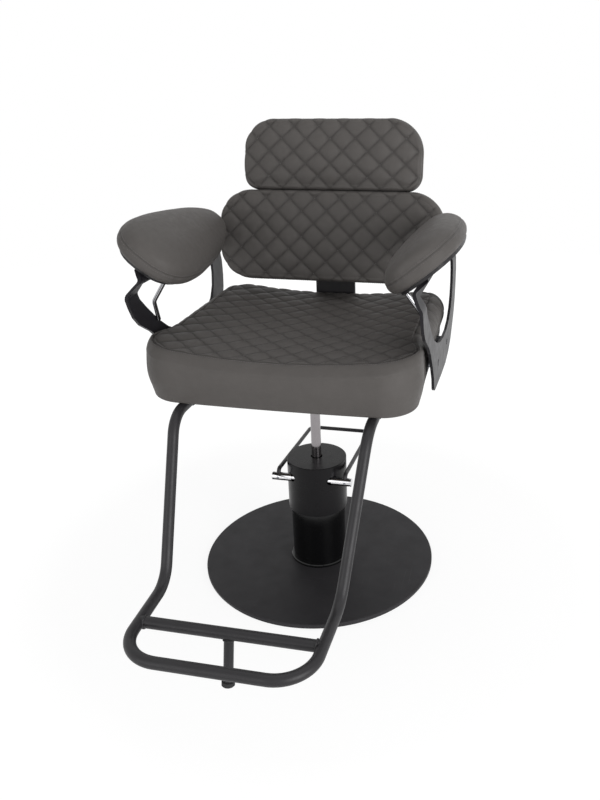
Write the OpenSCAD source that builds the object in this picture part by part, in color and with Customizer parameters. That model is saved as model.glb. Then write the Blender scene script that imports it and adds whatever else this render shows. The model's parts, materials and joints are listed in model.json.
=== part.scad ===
// Hydraulic hairdressing chair with a quilted seat, two quilted back pads,
// padded arms on flat steel loops, a bent-tube footrest and a round floor plate.
// Millimetres. Z is up, the chair faces -Y, and the origin is on the floor
// on the centre line of the pump.

/* [Floor plate] */
// Radius of the round floor plate
base_radius = 290; // [250:5:330]
// Thickness of the floor plate
base_thickness = 8; // [6:1:12]
// Width of the bevel round the plate's top edge
base_bevel = 2; // [1:0.5:3]
// Height of the rubber ring that the plate stands on
floor_ring_height = 3; // [2:0.5:5]
// Width of the rubber ring
floor_ring_width = 24; // [15:1:40]
// Radius of the circle on which the base bolts sit
base_bolt_circle = 50; // [46:1:54]
// Radius of the base bolts' shanks
base_bolt_radius = 5; // [4:0.5:6]

/* [Pump] */
// Outer radius of the oil reservoir
reservoir_radius = 67; // [66:0.5:68]
// Wall of the reservoir
reservoir_wall = 4; // [3:0.5:4.5]
// Thickness of the reservoir's bottom
reservoir_bottom = 8; // [6:1:9]
// Height of the reservoir above the plate
reservoir_height = 149; // [140:1:155]
// Width and height of the flange round the reservoir's foot
foot_flange = [6, 7];
// Outer radius of the cover tube over the pump
shroud_radius = 73; // [72:0.5:76]
// Wall of the cover tube
shroud_wall = 2.5; // [1.5:0.25:3]
// Height of the cover tube
shroud_height = 126; // [122:1:132]
// Thickness of the cap disc on the cover tube
disc_thickness = 4.6; // [3:0.2:6]
// Radial gap between the lifting rod and the cap disc
disc_gap = 2.5; // [1:0.5:5]
// Thickness of the pump head's flange
head_thickness = 10; // [8:1:14]
// Depth to which the pump head plugs into the reservoir
head_spigot = 10; // [6:1:14]
// Outer radius of the lifting cylinder
cylinder_radius = 22; // [21:0.5:22]
// Wall of the lifting cylinder
cylinder_wall = 5; // [3.5:0.5:6]
// Length of the guide bush in the top of the cylinder
bush_length = 32; // [24:1:36]
// Radius of the chromed lifting rod
rod_radius = 12; // [10:0.5:13]
// Distance from the cap disc up to the hub under the seat, as photographed
rod_shown = 195; // [170:1:220]
// Height of the piston
piston_height = 30; // [24:1:34]
// Height of the piston's underside above the floor, as photographed
piston_level = 156; // [150:1:162]

/* [Foot pedal] */
// Distance of the pedal's pivot in front of the pump's centre line
pedal_offset = 50; // [48:0.5:51]
// Height of the pedal's pivot below the top of the cover tube
pedal_drop = 33; // [30:1:36]
// Radius of the pedal's rocker shaft
shaft_radius = 7; // [6:0.5:7.5]
// Radius of the chromed sleeves on the shaft's ends
sleeve_radius = 10; // [9.5:0.5:11]
// Half of the width over the two sleeves
sleeve_reach = 99; // [98:1:106]
// Radius of the pedal's bent rod
bail_radius = 5; // [4:0.5:5.5]
// Half of the spacing between the arms of the bent rod
bail_half_width = 83; // [82.5:0.5:84]
// Distance of the pedal's rear bar behind the pump's centre line
bail_reach = 250; // [200:5:290]
// Height of the pedal's front bends above its pivot
bail_rise = 19; // [17:1:24]
// Depth of the pedal's rear bar below its pivot
bail_fall = 6; // [2:1:24]
// Distance from the rocker shaft to the plunger that it works
crank_length = 16; // [15.5:0.5:16.5]
// Radius of the pump plunger
plunger_radius = 6; // [5:0.5:6.5]

/* [Seat] */
// Width of the seat cushion between the arms
seat_width = 556; // [540:2:560]
// How much further each side of the seat reaches out at its front corner
seat_flare = 20; // [10:1:24]
// Depth of the seat cushion from front to back
seat_depth = 530; // [510:2:540]
// Distance that the seat cushion's middle lies in front of the pump
seat_forward = 40; // [34:1:46]
// How far the middle of the seat's front edge bows forward
seat_bow = 8; // [0:1:14]
// How far the seat's front seam stands back from its rounded front face
seat_front_round = 12; // [6:1:16]
// Radius of the seat cushion's front corners
seat_front_corner = 80; // [60:1:90]
// Radius of the seat cushion's back corners
seat_back_corner = 60; // [40:1:80]
// Height of the seat's front edge at its middle
seat_front_height = 98; // [90:1:104]
// How much higher the seat's sides stand than its middle
seat_side_rise = 22; // [12:1:26]
// How much higher the seat's back edge stands than its front edge
seat_back_rise = 8; // [2:1:14]
// How far the seat's sides draw in towards the bottom
seat_draw_in = 9; // [4:1:16]
// Thickness of the plywood seat board
board_thickness = 14; // [12:1:18]
// Distance that the seat board stays inside the cushion's edge
board_inset = 28; // [26:1:32]

/* [Quilting] */
// Width of one sewn diamond
diamond_width = 60; // [52:1:68]
// Height of one sewn diamond
diamond_height = 57; // [50:1:64]
// Depth of the sewn lines between diamonds
tuft_depth = 3; // [2:0.5:4]
// Width of the plain border round a quilted panel
panel_border = 14; // [12:1:20]

/* [Back] */
// Width of the lower back pad
lower_pad_width = 552; // [520:2:560]
// Height of the lower back pad, along its slope
lower_pad_height = 213; // [200:1:216]
// Radius of the lower back pad's corners
lower_pad_corner = 80; // [60:1:96]
// Width of the upper back pad
upper_pad_width = 432; // [400:2:470]
// Height of the upper back pad, along its slope
upper_pad_height = 163; // [140:1:180]
// Radii of the upper back pad's top and bottom corners
upper_pad_corners = [76, 36];
// Gap between the two back pads
pad_gap = 1.5; // [1:0.5:6]
// Thickness of the lower back pad at its edges
lower_pad_thickness = 60; // [48:1:62]
// Thickness of the upper back pad at its edges
upper_pad_thickness = 50; // [40:1:56]
// Thickness of the boards behind the back pads
back_board_thickness = 12; // [9:1:15]
// Lean of the back, in degrees from upright
back_lean = 10.8; // [8:0.1:13]
// Width of the flat steel bar that carries the back
back_bar_width = 101; // [90:1:120]
// Thickness of that bar
back_bar_thickness = 8; // [6:1:10]
// Gap between the seat cushion and the bar behind it
back_bar_gap = 8; // [7:1:14]
// Height of the bend in the bar above the seat board's top
back_bar_bend_height = 221; // [214:1:230]

/* [Arms] */
// Length of the arm loops from front to back
arm_length = 523; // [500:1:540]
// Height of the arm loops
arm_height = 281; // [270:1:290]
// How far the arm loops reach below the seat cushion's underside
arm_drop = 16; // [8:1:22]
// Distance of the arm loops' front edge in front of the pump
arm_front = 297; // [285:1:305]
// Thickness of the arm loops' flat steel
arm_steel = 6; // [5:0.5:8]
// Distance of the arm loops' middle plane outside the seat cushion's side
arm_gap = 18; // [16:0.5:22]
// Angle by which the arm loops toe in towards the front
arm_toe_in = 1.5; // [0:0.1:2]
// Angle by which the upper part of the arm loops bends inwards
arm_bend = 36; // [30:1:42]
// Height at which the arm loops start to bend inwards, above their lowest edge
arm_bend_height = 230; // [224:1:236]
// Length of the arm pads
arm_pad_length = 404; // [380:2:430]
// Width of the arm pads at their middle
arm_pad_width = 164; // [150:2:176]
// Thickness of the arm pads at their edges, with their boards
arm_pad_thickness = 46; // [40:1:50]
// Height of the arm pads' crown above their edges
arm_pad_crown = 27; // [15:1:32]
// Angle by which the arm pads tip inwards
arm_pad_roll = 39; // [34:1:44]
// Thickness of the arm pads' boards
arm_board_thickness = 6; // [4:1:9]
// Radius of the chromed stays between arm pads and arm loops
stay_radius = 4.5; // [3:0.5:6]

/* [Footrest] */
// Radius of the footrest's tubes
tube_radius = 11; // [10:0.5:12.5]
// Wall of the footrest's tubes
tube_wall = 2; // [1.5:0.25:3]
// Half of the spacing between the rails under the seat
rail_half_spacing = 197; // [188:1:204]
// Distance of the rails' front bend in front of the pump
rail_front = 331; // [326:1:345]
// Distance of the lower bend in front of the pump
leg_front = 491; // [480:1:510]
// Distance of the front bar in front of the pump
bar_front = 698; // [680:1:730]
// Drop from the rails to the foot platform
platform_drop = 284; // [260:1:300]
// Half of the platform's width at its back
platform_back_half = 174; // [165:1:185]
// Half of the platform's width at its front
platform_front_half = 168; // [160:1:175]
// Radius of the bends in the legs
leg_bend = 65; // [45:1:70]
// Radius of the bends at the platform's front corners
platform_bend = 72; // [50:1:85]
// Distance between the front bar and the crossbar behind it
crossbar_spacing = 93; // [70:1:105]
// Drop from the crossbar to the end of the short post
post_drop = 87; // [60:1:100]
// Distance by which the post's foot stands ahead of its top
post_lead = 22; // [10:1:30]

/* [Hidden] */

// Fineness of turned parts, and the small lengths that fits and cuts share
$fn = 72;
overrun = 1;
fit = 0.1;
running_fit = 0.15;
running_gap = 0.5;
// Tubes swell a little where they are bent, and straight runs reach this far into a bend
bend_swell = 0.05;
bend_lap = 0.5;

// Colours
upholstery = "#625f5c";
seat_black = "#2e2d2f";
plate_black = "#29282a";
gloss_black = "#141416";
arm_grey = "#4b4a4e";
chrome = "#c9cacd";
steel = "#8d8f94";
bronze = "#a9814a";
rubber = "#1b1b1c";
plywood = "#b08a5c";

// Heights of the stack from the floor to the pump's cap
plate_top = floor_ring_height + base_thickness;
reservoir_top = plate_top + reservoir_height;
sump_level = plate_top + reservoir_bottom;
head_top = reservoir_top + head_thickness;
shroud_top = reservoir_top + shroud_height;
disc_top = shroud_top + disc_thickness;
pedal_level = shroud_top - pedal_drop;

// Lifting cylinder, its bush and its gland
cylinder_bore = cylinder_radius - cylinder_wall;
gland_wall = 3;
gland_radius = cylinder_radius + gland_wall;
gland_thickness = head_thickness;
seal_height = 5;
seal_width = 4;
gland_drop = 4;
cylinder_top = shroud_top - gland_thickness - gland_drop;
gland_skirt = head_thickness;

// Piston and rod
piston_clearance = 0.2;
piston_groove = [2.2, 6];
spigot_share = 2 / 3;
spigot_radius = rod_radius * spigot_share;
spigot_length = 25;
washer_thickness = 5;
rod_foot = piston_level + piston_height + washer_thickness;
spigot_reach = washer_thickness + spigot_length - overrun;
hub_length = 50;
hub_level = disc_top + rod_shown;
hub_wall = 11;
taper_share = 0.88;
rod_end_gap = 4;

// Steel plate under the seat
seat_plate_size = 180;
seat_plate_thickness = 5;
seat_plate_corner = 15;
plate_bolt_spacing = 140;
plate_level = hub_level + hub_length;
board_level = plate_level + seat_plate_thickness;
cushion_level = board_level;

// Screws and bolts: shank radius, head radius and head height
m8 = [4, 6.5, 5];
m6 = [3, 5.5, 4];
hole_fit = 0.2;

// Seat cushion
seat_half = seat_width / 2;
seat_middle = [0, -seat_forward, cushion_level];
seam_groove = 3;
rim_round = 10;
seam_inset = 2;
side_bulge = 3;
welt_height = 7;
bottom_roll = 8;
front_draw_in = seat_draw_in + seam_groove;
front_round_shares = [0.75, 0.3];
flare_power = 4;
board_play = 1;
board_corner_play = 6;

// Pads of the back
pad_crown = 9;
pad_side_bulge = 2;
pad_bottom_roll = 6;
back_board_inset = 24;

// Bar behind the seat: its middle line in the YZ plane
bar_behind = seat_depth / 2 - seat_forward + back_bar_gap + back_bar_thickness / 2;
bar_bend_radius = 24;
bar_lean_radius = 60;
bar_overlap = 6;
bar_start = seat_plate_size / 2 + bar_overlap;
bar_level = board_level - back_bar_thickness / 2;
bar_bend_level = cushion_level + back_bar_bend_height;
// Places on the leaning part of the bar, measured from its bend along the slope
lower_pad_foot = -86;
lower_pad_middle = lower_pad_foot + lower_pad_height / 2;
upper_pad_middle = lower_pad_foot + lower_pad_height + pad_gap + upper_pad_height / 2;
bar_end = upper_pad_middle + upper_pad_height / 4;
back_bolt_offset = 30;

// Arms
arm_plane = seat_half + arm_gap;
arm_foot = cushion_level - arm_drop;
arm_pad_back = 58;
arm_pad_inset = 17.5;
arm_pad_raise = 12.5;
arm_pad_flange = 28;
arm_flange_bend = 7;
arm_bend_radius = 18;
pad_plane_drop = arm_pad_thickness / 2;
arm_frame_shares = [
    [0.135, 1], [0.080, 0.945], [0.026, 0.885], [0, 0.845], [0.002, 0.80], [0.016, 0.735], [0.040, 0.655], [0.080, 0.580],
    [0.165, 0.485], [0.225, 0.395], [0.290, 0.255], [0.340, 0.125], [0.355, 0.035],
    [0.375, 0.008], [0.420, 0.004], [0.590, 0], [0.715, 0.010], [0.808, 0.055],
    [0.870, 0.115], [0.925, 0.220], [0.965, 0.320], [0.992, 0.440], [1, 0.550],
    [0.998, 0.680], [0.980, 0.790], [0.945, 0.880], [0.870, 0.960], [0.800, 1]
];
arm_opening_shares = [
    [0.085, 0.885], [0.083, 0.825], [0.100, 0.765], [0.143, 0.690], [0.200, 0.600],
    [0.255, 0.520], [0.320, 0.440], [0.400, 0.372], [0.490, 0.325], [0.590, 0.298],
    [0.700, 0.300], [0.780, 0.340], [0.835, 0.415], [0.865, 0.510], [0.875, 0.620],
    [0.868, 0.740], [0.845, 0.830], [0.800, 0.885]
];
arm_bolt_shares = [0.46, 0.74];
arm_bolt_height = 50;
arm_spacer_radius = 12;
arm_spacer_sink = 16;
arm_bolt_bite = 22;
arm_screw_shares = [0.19, 0.45, 0.71];
arm_pad_egg_share = 0.25;
arm_pad_power = 2.65;
arm_pad_steps = 44;
arm_board_inset = 13;
arm_pad_seam = 4;
arm_pad_roll_in = 7;
stay_top_place = [42, 86, 40];
stay_kink_place = [13, 92, 81];
stay_foot_place = [8, 115, 126];

// Footrest
rail_level = board_level - tube_radius;
platform_level = rail_level - platform_drop;
rail_back = 115;
glide_height = 9;
glide_radius = 12;
post_radius = 9;
clamp_setback = 65;
clamp_back_place = 60;
clamp_places = [clamp_setback - seat_forward - seat_depth / 2, clamp_back_place];
clamp_thickness = 2;
clamp_width = 24;
clamp_wing = 62;
clamp_bolt_reach = 49;

// Direction and turning helpers

function unit(v) = v / norm(v);
function turned(p, i) = acos(unit(p[i] - p[i - 1]) * unit(p[i + 1] - p[i]));
function cut_back(p, r, i) =
    (i == 0 || i == len(p) - 1) ? 0 : r[i] * tan(turned(p, i) / 2);

// A rigid placement whose X, Y and Z axes and origin are given
module frame_at(x, y, z, o) {
    multmatrix([
        [x[0], y[0], z[0], o[0]],
        [x[1], y[1], z[1], o[1]],
        [x[2], y[2], z[2], o[2]],
        [0, 0, 0, 1]
    ]) children();
}

// A round rod along a route, with true bends at the route's inner points
module bent_rod(route, bends, radius) {
    for (i = [0:len(route) - 2]) {
        d = unit(route[i + 1] - route[i]);
        start = route[i] + d * (cut_back(route, bends, i) - (i == 0 ? 0 : bend_lap));
        end = route[i + 1] - d * (cut_back(route, bends, i + 1) - (i == len(route) - 2 ? 0 : bend_lap));
        side = unit(cross(abs(d[2]) > abs(d[0]) ? [1, 0, 0] : [0, 0, 1], d));
        frame_at(side, cross(d, side), d, start) cylinder(r = radius, h = norm(end - start));
    }
    for (i = [1:1:len(route) - 2]) {
        d = unit(route[i] - route[i - 1]);
        e = unit(route[i + 1] - route[i]);
        angle = turned(route, i);
        middle = route[i] + unit(e - d) * bends[i] / cos(angle / 2);
        start = route[i] - d * cut_back(route, bends, i);
        radial = unit(start - middle);
        frame_at(radial, d, cross(radial, d), middle)
            rotate_extrude(angle = angle) translate([bends[i], 0]) circle(r = radius + bend_swell);
    }
}

// A flat route in the plane with its inner corners rounded into short chords
function rounded_route(p, bends, steps = 8) = [
    for (i = [0:len(p) - 1]) each
        (i == 0 || i == len(p) - 1) ? [p[i]] :
        let (
            d = unit(p[i] - p[i - 1]),
            e = unit(p[i + 1] - p[i]),
            angle = turned(p, i),
            middle = p[i] + unit(e - d) * bends[i] / cos(angle / 2),
            back = unit(p[i] - d * cut_back(p, bends, i) - middle),
            way = sign(d[0] * e[1] - d[1] * e[0])
        ) [
            for (k = [0:steps])
                let (a = way * angle * k / steps)
                middle + bends[i] * [
                    back[0] * cos(a) - back[1] * sin(a),
                    back[0] * sin(a) + back[1] * cos(a)
                ]
        ]
];

function normal_at(p, i) =
    let (
        d = i == 0 ? unit(p[1] - p[0]) : unit(p[i] - p[i - 1]),
        e = i == len(p) - 1 ? d : unit(p[i + 1] - p[i]),
        m = unit(d + e)
    ) [-m[1], m[0]] / (m * d);

// The outline of a strip of sheet that follows a flat route
module strip_profile(route, thickness) {
    upper = [for (i = [0:len(route) - 1]) route[i] + normal_at(route, i) * thickness / 2];
    lower = [for (i = [len(route) - 1:-1:0]) route[i] - normal_at(route, i) * thickness / 2];
    polygon(concat(upper, lower));
}

// A rectangle with rounded corners, centred
module rounded_plate(size, corner, height) {
    linear_extrude(height) {
        square([size[0] - 2 * corner, size[1]], center = true);
        square([size[0], size[1] - 2 * corner], center = true);
        for (x = [-1, 1], y = [-1, 1])
            translate([x * (size[0] / 2 - corner), y * (size[1] / 2 - corner)]) circle(r = corner);
    }
}

// A bolt that points up from the origin, with its head below
module bolt_up(kind, length) {
    translate([0, 0, -kind[2]]) cylinder(r = kind[1], h = kind[2]);
    cylinder(r = kind[0], h = length);
}

// Plan of a cushion: a point of the unit square laid on a rounded rectangle
function corner_zone(x, half, corner) = max(0, (abs(x) - half + corner) / corner);
function on_plan(u, v, half, corners) =
    let (
        corner = v > 0 ? corners[0] : corners[1],
        x = u * half[0],
        y = v * half[1],
        p = corner_zone(x, half[0], corner),
        q = corner_zone(y, half[1], corner)
    )
    p > 0 && q > 0
        ? [
            sign(x) * (half[0] - corner + corner * p * sqrt(1 - q * q / 2)),
            sign(y) * (half[1] - corner + corner * q * sqrt(1 - p * p / 2))
        ]
        : [x, y];

// The places round the edge of a grid, anticlockwise from its front left corner
function grid_edge(n) = concat(
    [for (i = [0:n[0] - 1]) [i, 0]],
    [for (j = [0:n[1] - 1]) [n[0], j]],
    [for (i = [n[0]:-1:1]) [i, n[1]]],
    [for (j = [n[1]:-1:1]) [0, j]]
);

// A boxed cushion with a panel sewn in diamonds. Each ring gives the distance inside
// the outline across and along, the share of the seam's height, a rise above that, and
// how far the front is set back there.
module sewn_cushion(half, corners, border, seam_at, crown, rings, flare, bow, recess) {
    n = [
        2 * round(2 * (half[0] - border) / diamond_width),
        2 * round(2 * (half[1] - border) / diamond_height)
    ];
    function shape(u, v, inset, back) =
        let (
            p = on_plan(
                u, v, [half[0] - inset[0], half[1] - inset[1]],
                [for (c = corners) max(c - min(inset[0], inset[1]), overrun)]
            ),
            front = (1 - p[1] / half[1]) / 2,
            s = 1 + flare / half[0] * pow(front, flare_power)
        ) [p[0] * s, p[1] + back * front - bow * (1 - pow(p[0] / half[0], 2)) * pow(front, 2)];
    function panel_point(i, j) =
        let (
            u = 2 * i / n[0] - 1,
            v = 2 * j / n[1] - 1,
            p = shape(u, v, [border, border], rings[0][4]),
            edge = max(abs(u), abs(v)),
            low = (i + j) % 2 == 0
        ) [p[0], p[1], seam_at(p[0], p[1]) + crown * (1 - pow(edge, 3)) - (low ? tuft_depth : 0)];
    edge = grid_edge(n);
    count = len(edge);
    panel = [for (j = [0:n[1]]) for (i = [0:n[0]]) panel_point(i, j)];
    ring_points = [
        for (r = rings) for (e = edge)
            let (
                p = shape(2 * e[0] / n[0] - 1, 2 * e[1] / n[1] - 1, [r[0], r[1]], r[4])
            ) [p[0], p[1], seam_at(p[0], p[1]) * r[2] + r[3]]
    ];
    first = len(panel);
    function at(i, j) = j * (n[0] + 1) + i;
    function ring_at(k, e) =
        k < 0 ? at(edge[e % count][0], edge[e % count][1]) : first + k * count + e % count;
    last = first + len(ring_points);
    panel_faces = [
        for (j = [0:n[1] - 1]) for (i = [0:n[0] - 1]) each
            (i + j) % 2 == 0
                ? [[at(i, j), at(i, j + 1), at(i + 1, j + 1)], [at(i, j), at(i + 1, j + 1), at(i + 1, j)]]
                : [[at(i, j), at(i, j + 1), at(i + 1, j)], [at(i, j + 1), at(i + 1, j + 1), at(i + 1, j)]]
    ];
    side_faces = [
        for (k = [0:len(rings) - 1]) for (e = [0:count - 1]) each [
            [ring_at(k - 1, e), ring_at(k - 1, e + 1), ring_at(k, e + 1)],
            [ring_at(k - 1, e), ring_at(k, e + 1), ring_at(k, e)]
        ]
    ];
    floor_faces = [
        for (e = [0:count - 1]) [ring_at(len(rings) - 1, e), ring_at(len(rings) - 1, e + 1), last]
    ];
    polyhedron(concat(panel, ring_points, [[0, 0, recess]]), concat(panel_faces, side_faces, floor_faces));
}

// Floor plate and pump

module floor_ring() {
    color(rubber) difference() {
        cylinder(r = base_radius - base_bevel, h = floor_ring_height);
        translate([0, 0, -overrun])
            cylinder(r = base_radius - floor_ring_width, h = floor_ring_height + 2 * overrun);
    }
}

module base_bolt_places() {
    for (a = [45:90:315]) rotate(a) translate([base_bolt_circle, 0]) children();
}

module base_plate() {
    color(plate_black) difference() {
        translate([0, 0, floor_ring_height]) {
            cylinder(r = base_radius, h = base_thickness - base_bevel);
            translate([0, 0, base_thickness - base_bevel])
                cylinder(r1 = base_radius, r2 = base_radius - base_bevel, h = base_bevel);
        }
        base_bolt_places() translate([0, 0, floor_ring_height]) {
            translate([0, 0, -overrun]) cylinder(r = base_bolt_radius + hole_fit, h = base_thickness + 2 * overrun);
            cylinder(r1 = 2 * base_bolt_radius + hole_fit, r2 = base_bolt_radius + hole_fit, h = base_bolt_radius);
        }
    }
}

module base_bolts() {
    color(steel) base_bolt_places() translate([0, 0, floor_ring_height]) {
        cylinder(r1 = 2 * base_bolt_radius, r2 = base_bolt_radius, h = base_bolt_radius);
        cylinder(r = base_bolt_radius, h = base_thickness + reservoir_bottom - overrun);
    }
}

module reservoir() {
    color(gloss_black) difference() {
        translate([0, 0, plate_top]) {
            cylinder(r = reservoir_radius, h = reservoir_height);
            cylinder(r = reservoir_radius + foot_flange[0], h = foot_flange[1] - base_bevel);
            translate([0, 0, foot_flange[1] - base_bevel])
                cylinder(
                    r1 = reservoir_radius + foot_flange[0],
                    r2 = reservoir_radius + foot_flange[0] - base_bevel,
                    h = base_bevel
                );
        }
        translate([0, 0, sump_level])
            cylinder(r = reservoir_radius - reservoir_wall, h = reservoir_height);
        base_bolt_places() translate([0, 0, plate_top - overrun])
            cylinder(r = base_bolt_radius + hole_fit, h = reservoir_bottom);
    }
}

// Pump head: a plug with the plunger's barrel and the two ears of the rocker shaft
ear_gap = 18;
ear_thickness = 12;
ear_radius = 12;
barrel_wall = 5.5;
barrel_height = 30;
barrel_depth = 46;
plunger_place = crank_length - pedal_offset;

module pump_head() {
    color(steel) difference() {
        union() {
            translate([0, 0, reservoir_top]) cylinder(r = shroud_radius - shroud_wall - fit, h = head_thickness);
            translate([0, 0, reservoir_top - head_spigot])
                cylinder(r = reservoir_radius - reservoir_wall - fit, h = head_spigot + overrun);
            for (s = [-1, 1]) {
                translate([s * (ear_gap + ear_thickness / 2), -pedal_offset, head_top - overrun])
                    translate([-ear_thickness / 2, -ear_radius, 0])
                    cube([ear_thickness, 2 * ear_radius, pedal_level - head_top + overrun]);
                translate([s * (ear_gap + ear_thickness / 2), -pedal_offset, pedal_level])
                    rotate([0, 90, 0]) cylinder(r = ear_radius, h = ear_thickness, center = true);
            }
            translate([0, plunger_place, reservoir_top - barrel_depth])
                cylinder(r = plunger_radius + barrel_wall, h = barrel_depth + head_thickness + barrel_height);
        }
        translate([0, 0, reservoir_top - head_spigot - overrun])
            cylinder(r = cylinder_radius + fit, h = head_spigot + head_thickness + 2 * overrun);
        translate([0, plunger_place, reservoir_top - barrel_depth + barrel_wall])
            cylinder(r = plunger_radius + running_fit, h = barrel_depth + head_thickness + barrel_height);
        translate([0, -pedal_offset, pedal_level]) rotate([0, 90, 0])
            cylinder(r = shaft_radius + running_fit, h = 3 * ear_gap + 2 * ear_thickness, center = true);
    }
}

module ram_cylinder() {
    color(steel) difference() {
        translate([0, 0, sump_level]) cylinder(r = cylinder_radius, h = cylinder_top - sump_level);
        translate([0, 0, sump_level - overrun])
            cylinder(r = cylinder_bore, h = cylinder_top - sump_level + 2 * overrun);
    }
}

module guide_bush() {
    color(bronze) difference() {
        translate([0, 0, cylinder_top - bush_length]) cylinder(r = cylinder_bore - fit, h = bush_length);
        translate([0, 0, cylinder_top - bush_length - overrun])
            cylinder(r = rod_radius + running_fit, h = bush_length + 2 * overrun);
    }
}

module gland_cap() {
    color(steel) translate([0, 0, cylinder_top]) difference() {
        translate([0, 0, -gland_skirt]) cylinder(r = gland_radius, h = gland_skirt + gland_thickness);
        translate([0, 0, -gland_skirt - overrun]) cylinder(r = cylinder_radius + fit, h = gland_skirt + overrun);
        translate([0, 0, -overrun]) cylinder(r = rod_radius + running_gap, h = gland_thickness + 2 * overrun);
        translate([0, 0, gland_thickness - seal_height])
            cylinder(r = rod_radius + seal_width, h = seal_height + overrun);
    }
}

module wiper_seal() {
    color(rubber) translate([0, 0, cylinder_top + gland_thickness - seal_height]) difference() {
        cylinder(r = rod_radius + seal_width - fit, h = seal_height);
        translate([0, 0, -overrun]) cylinder(r = rod_radius + running_fit, h = seal_height + 2 * overrun);
    }
}

module pump_shroud() {
    color(seat_black) difference() {
        translate([0, 0, reservoir_top]) cylinder(r = shroud_radius, h = shroud_height);
        translate([0, 0, reservoir_top - overrun])
            cylinder(r = shroud_radius - shroud_wall, h = shroud_height + 2 * overrun);
        translate([0, -pedal_offset, pedal_level]) rotate([0, 90, 0])
            cylinder(r = sleeve_radius + overrun, h = 3 * shroud_radius, center = true);
    }
}

module top_disc() {
    color(gloss_black) difference() {
        translate([0, 0, shroud_top]) {
            cylinder(r = shroud_radius, h = disc_thickness - overrun);
            translate([0, 0, disc_thickness - overrun])
                cylinder(r1 = shroud_radius, r2 = shroud_radius - overrun, h = overrun);
        }
        translate([0, 0, shroud_top - overrun])
            cylinder(r = rod_radius + disc_gap, h = disc_thickness + 2 * overrun);
    }
}

// Piston

module piston() {
    color(steel) difference() {
        translate([0, 0, piston_level]) cylinder(r = cylinder_bore - piston_clearance, h = piston_height);
        translate([0, 0, piston_level + piston_height - spigot_length])
            cylinder(r = spigot_radius + running_fit, h = spigot_length + overrun);
        translate([0, 0, piston_level + piston_height / 2 - piston_groove[1] / 2]) difference() {
            cylinder(r = cylinder_bore + overrun, h = piston_groove[1]);
            translate([0, 0, -overrun])
                cylinder(r = cylinder_bore - piston_clearance - piston_groove[0], h = piston_groove[1] + 2 * overrun);
        }
    }
}

module piston_seal() {
    color(rubber) translate([0, 0, piston_level + piston_height / 2 - piston_groove[1] / 2]) difference() {
        cylinder(r = cylinder_bore - fit, h = piston_groove[1]);
        translate([0, 0, -overrun])
            cylinder(r = cylinder_bore - piston_clearance - piston_groove[0], h = piston_groove[1] + 2 * overrun);
    }
}

module thrust_washer() {
    color(bronze) translate([0, 0, piston_level + piston_height]) difference() {
        cylinder(r = cylinder_bore - 2 * piston_clearance, h = washer_thickness);
        translate([0, 0, -overrun]) cylinder(r = spigot_radius + running_fit, h = washer_thickness + 2 * overrun);
    }
}

// Foot pedal

sleeve_length = 49;
sleeve_cap = 23;
sleeve_groove = [5, 1, 1.5];
crank_width = 10;
crank_pin = 3;
crank_web = 3.6;
crank_pin_reach = 9.5;
fork_play = 0.4;
fork_half_width = 10;
fork_wall = 4;
bail_bend = 9;
bail_corner = 22;
bail_sink = 4;

module at_pedal() {
    translate([0, -pedal_offset, pedal_level]) children();
}

module rocker_shaft() {
    color(chrome) at_pedal() rotate([0, 90, 0])
        cylinder(r = shaft_radius, h = 2 * (sleeve_reach - sleeve_cap), center = true);
}

module crank_arm() {
    color(steel) at_pedal() difference() {
        union() {
            rotate([0, 90, 0]) cylinder(r = ear_radius, h = 2 * (ear_gap - running_gap), center = true);
            translate([-crank_width / 2, 0, -crank_web / 2])
                cube([crank_width, crank_length, crank_web]);
            translate([0, crank_length, 0]) rotate([0, 90, 0])
                cylinder(r = crank_pin, h = 2 * crank_pin_reach, center = true);
        }
        rotate([0, 90, 0]) cylinder(r = shaft_radius, h = 3 * ear_gap, center = true);
    }
}

bail_route = [
    [-bail_half_width, -pedal_offset, pedal_level - bail_sink],
    [-bail_half_width, -pedal_offset, pedal_level + bail_rise],
    [-bail_half_width, bail_reach, pedal_level - bail_fall],
    [bail_half_width, bail_reach, pedal_level - bail_fall],
    [bail_half_width, -pedal_offset, pedal_level + bail_rise],
    [bail_half_width, -pedal_offset, pedal_level - bail_sink]
];

module pedal_bail() {
    color(seat_black) bent_rod(bail_route, [0, bail_bend, bail_corner, bail_corner, bail_bend, 0], bail_radius);
}

module pedal_sleeve(side) {
    color(chrome) at_pedal() mirror([side < 0 ? 1 : 0, 0, 0]) difference() {
        translate([sleeve_reach, 0, 0]) rotate([0, -90, 0]) {
            translate([0, 0, overrun]) cylinder(r = sleeve_radius, h = sleeve_length - overrun);
            cylinder(r1 = sleeve_radius - overrun, r2 = sleeve_radius, h = overrun);
        }
        translate([sleeve_reach - sleeve_length - overrun, 0, 0]) rotate([0, 90, 0])
            cylinder(r = shaft_radius + fit, h = sleeve_length - sleeve_cap + overrun);
        translate([bail_half_width, 0, -bail_sink])
            cylinder(r = bail_radius + fit, h = sleeve_radius + bail_sink + overrun);
        translate([sleeve_reach - sleeve_groove[0], 0, 0]) rotate([0, 90, 0]) difference() {
            cylinder(r = sleeve_radius + overrun, h = sleeve_groove[2]);
            translate([0, 0, -overrun])
                cylinder(r = sleeve_radius - sleeve_groove[1], h = sleeve_groove[2] + 2 * overrun);
        }
        translate([bail_half_width, 0, 0]) rotate([90, 0, 0])
            cylinder(r = m6[0] + hole_fit, h = sleeve_radius + overrun);
    }
}

module pedal_sleeve_left() {
    pedal_sleeve(-1);
}

module pedal_sleeve_right() {
    pedal_sleeve(1);
}

module sleeve_screws() {
    color(steel) at_pedal() for (s = [-1, 1])
        translate([s * bail_half_width, -bail_radius - fit, 0]) rotate([90, 0, 0])
            cylinder(r = m6[0], h = sleeve_radius - bail_radius - overrun);
}

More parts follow.
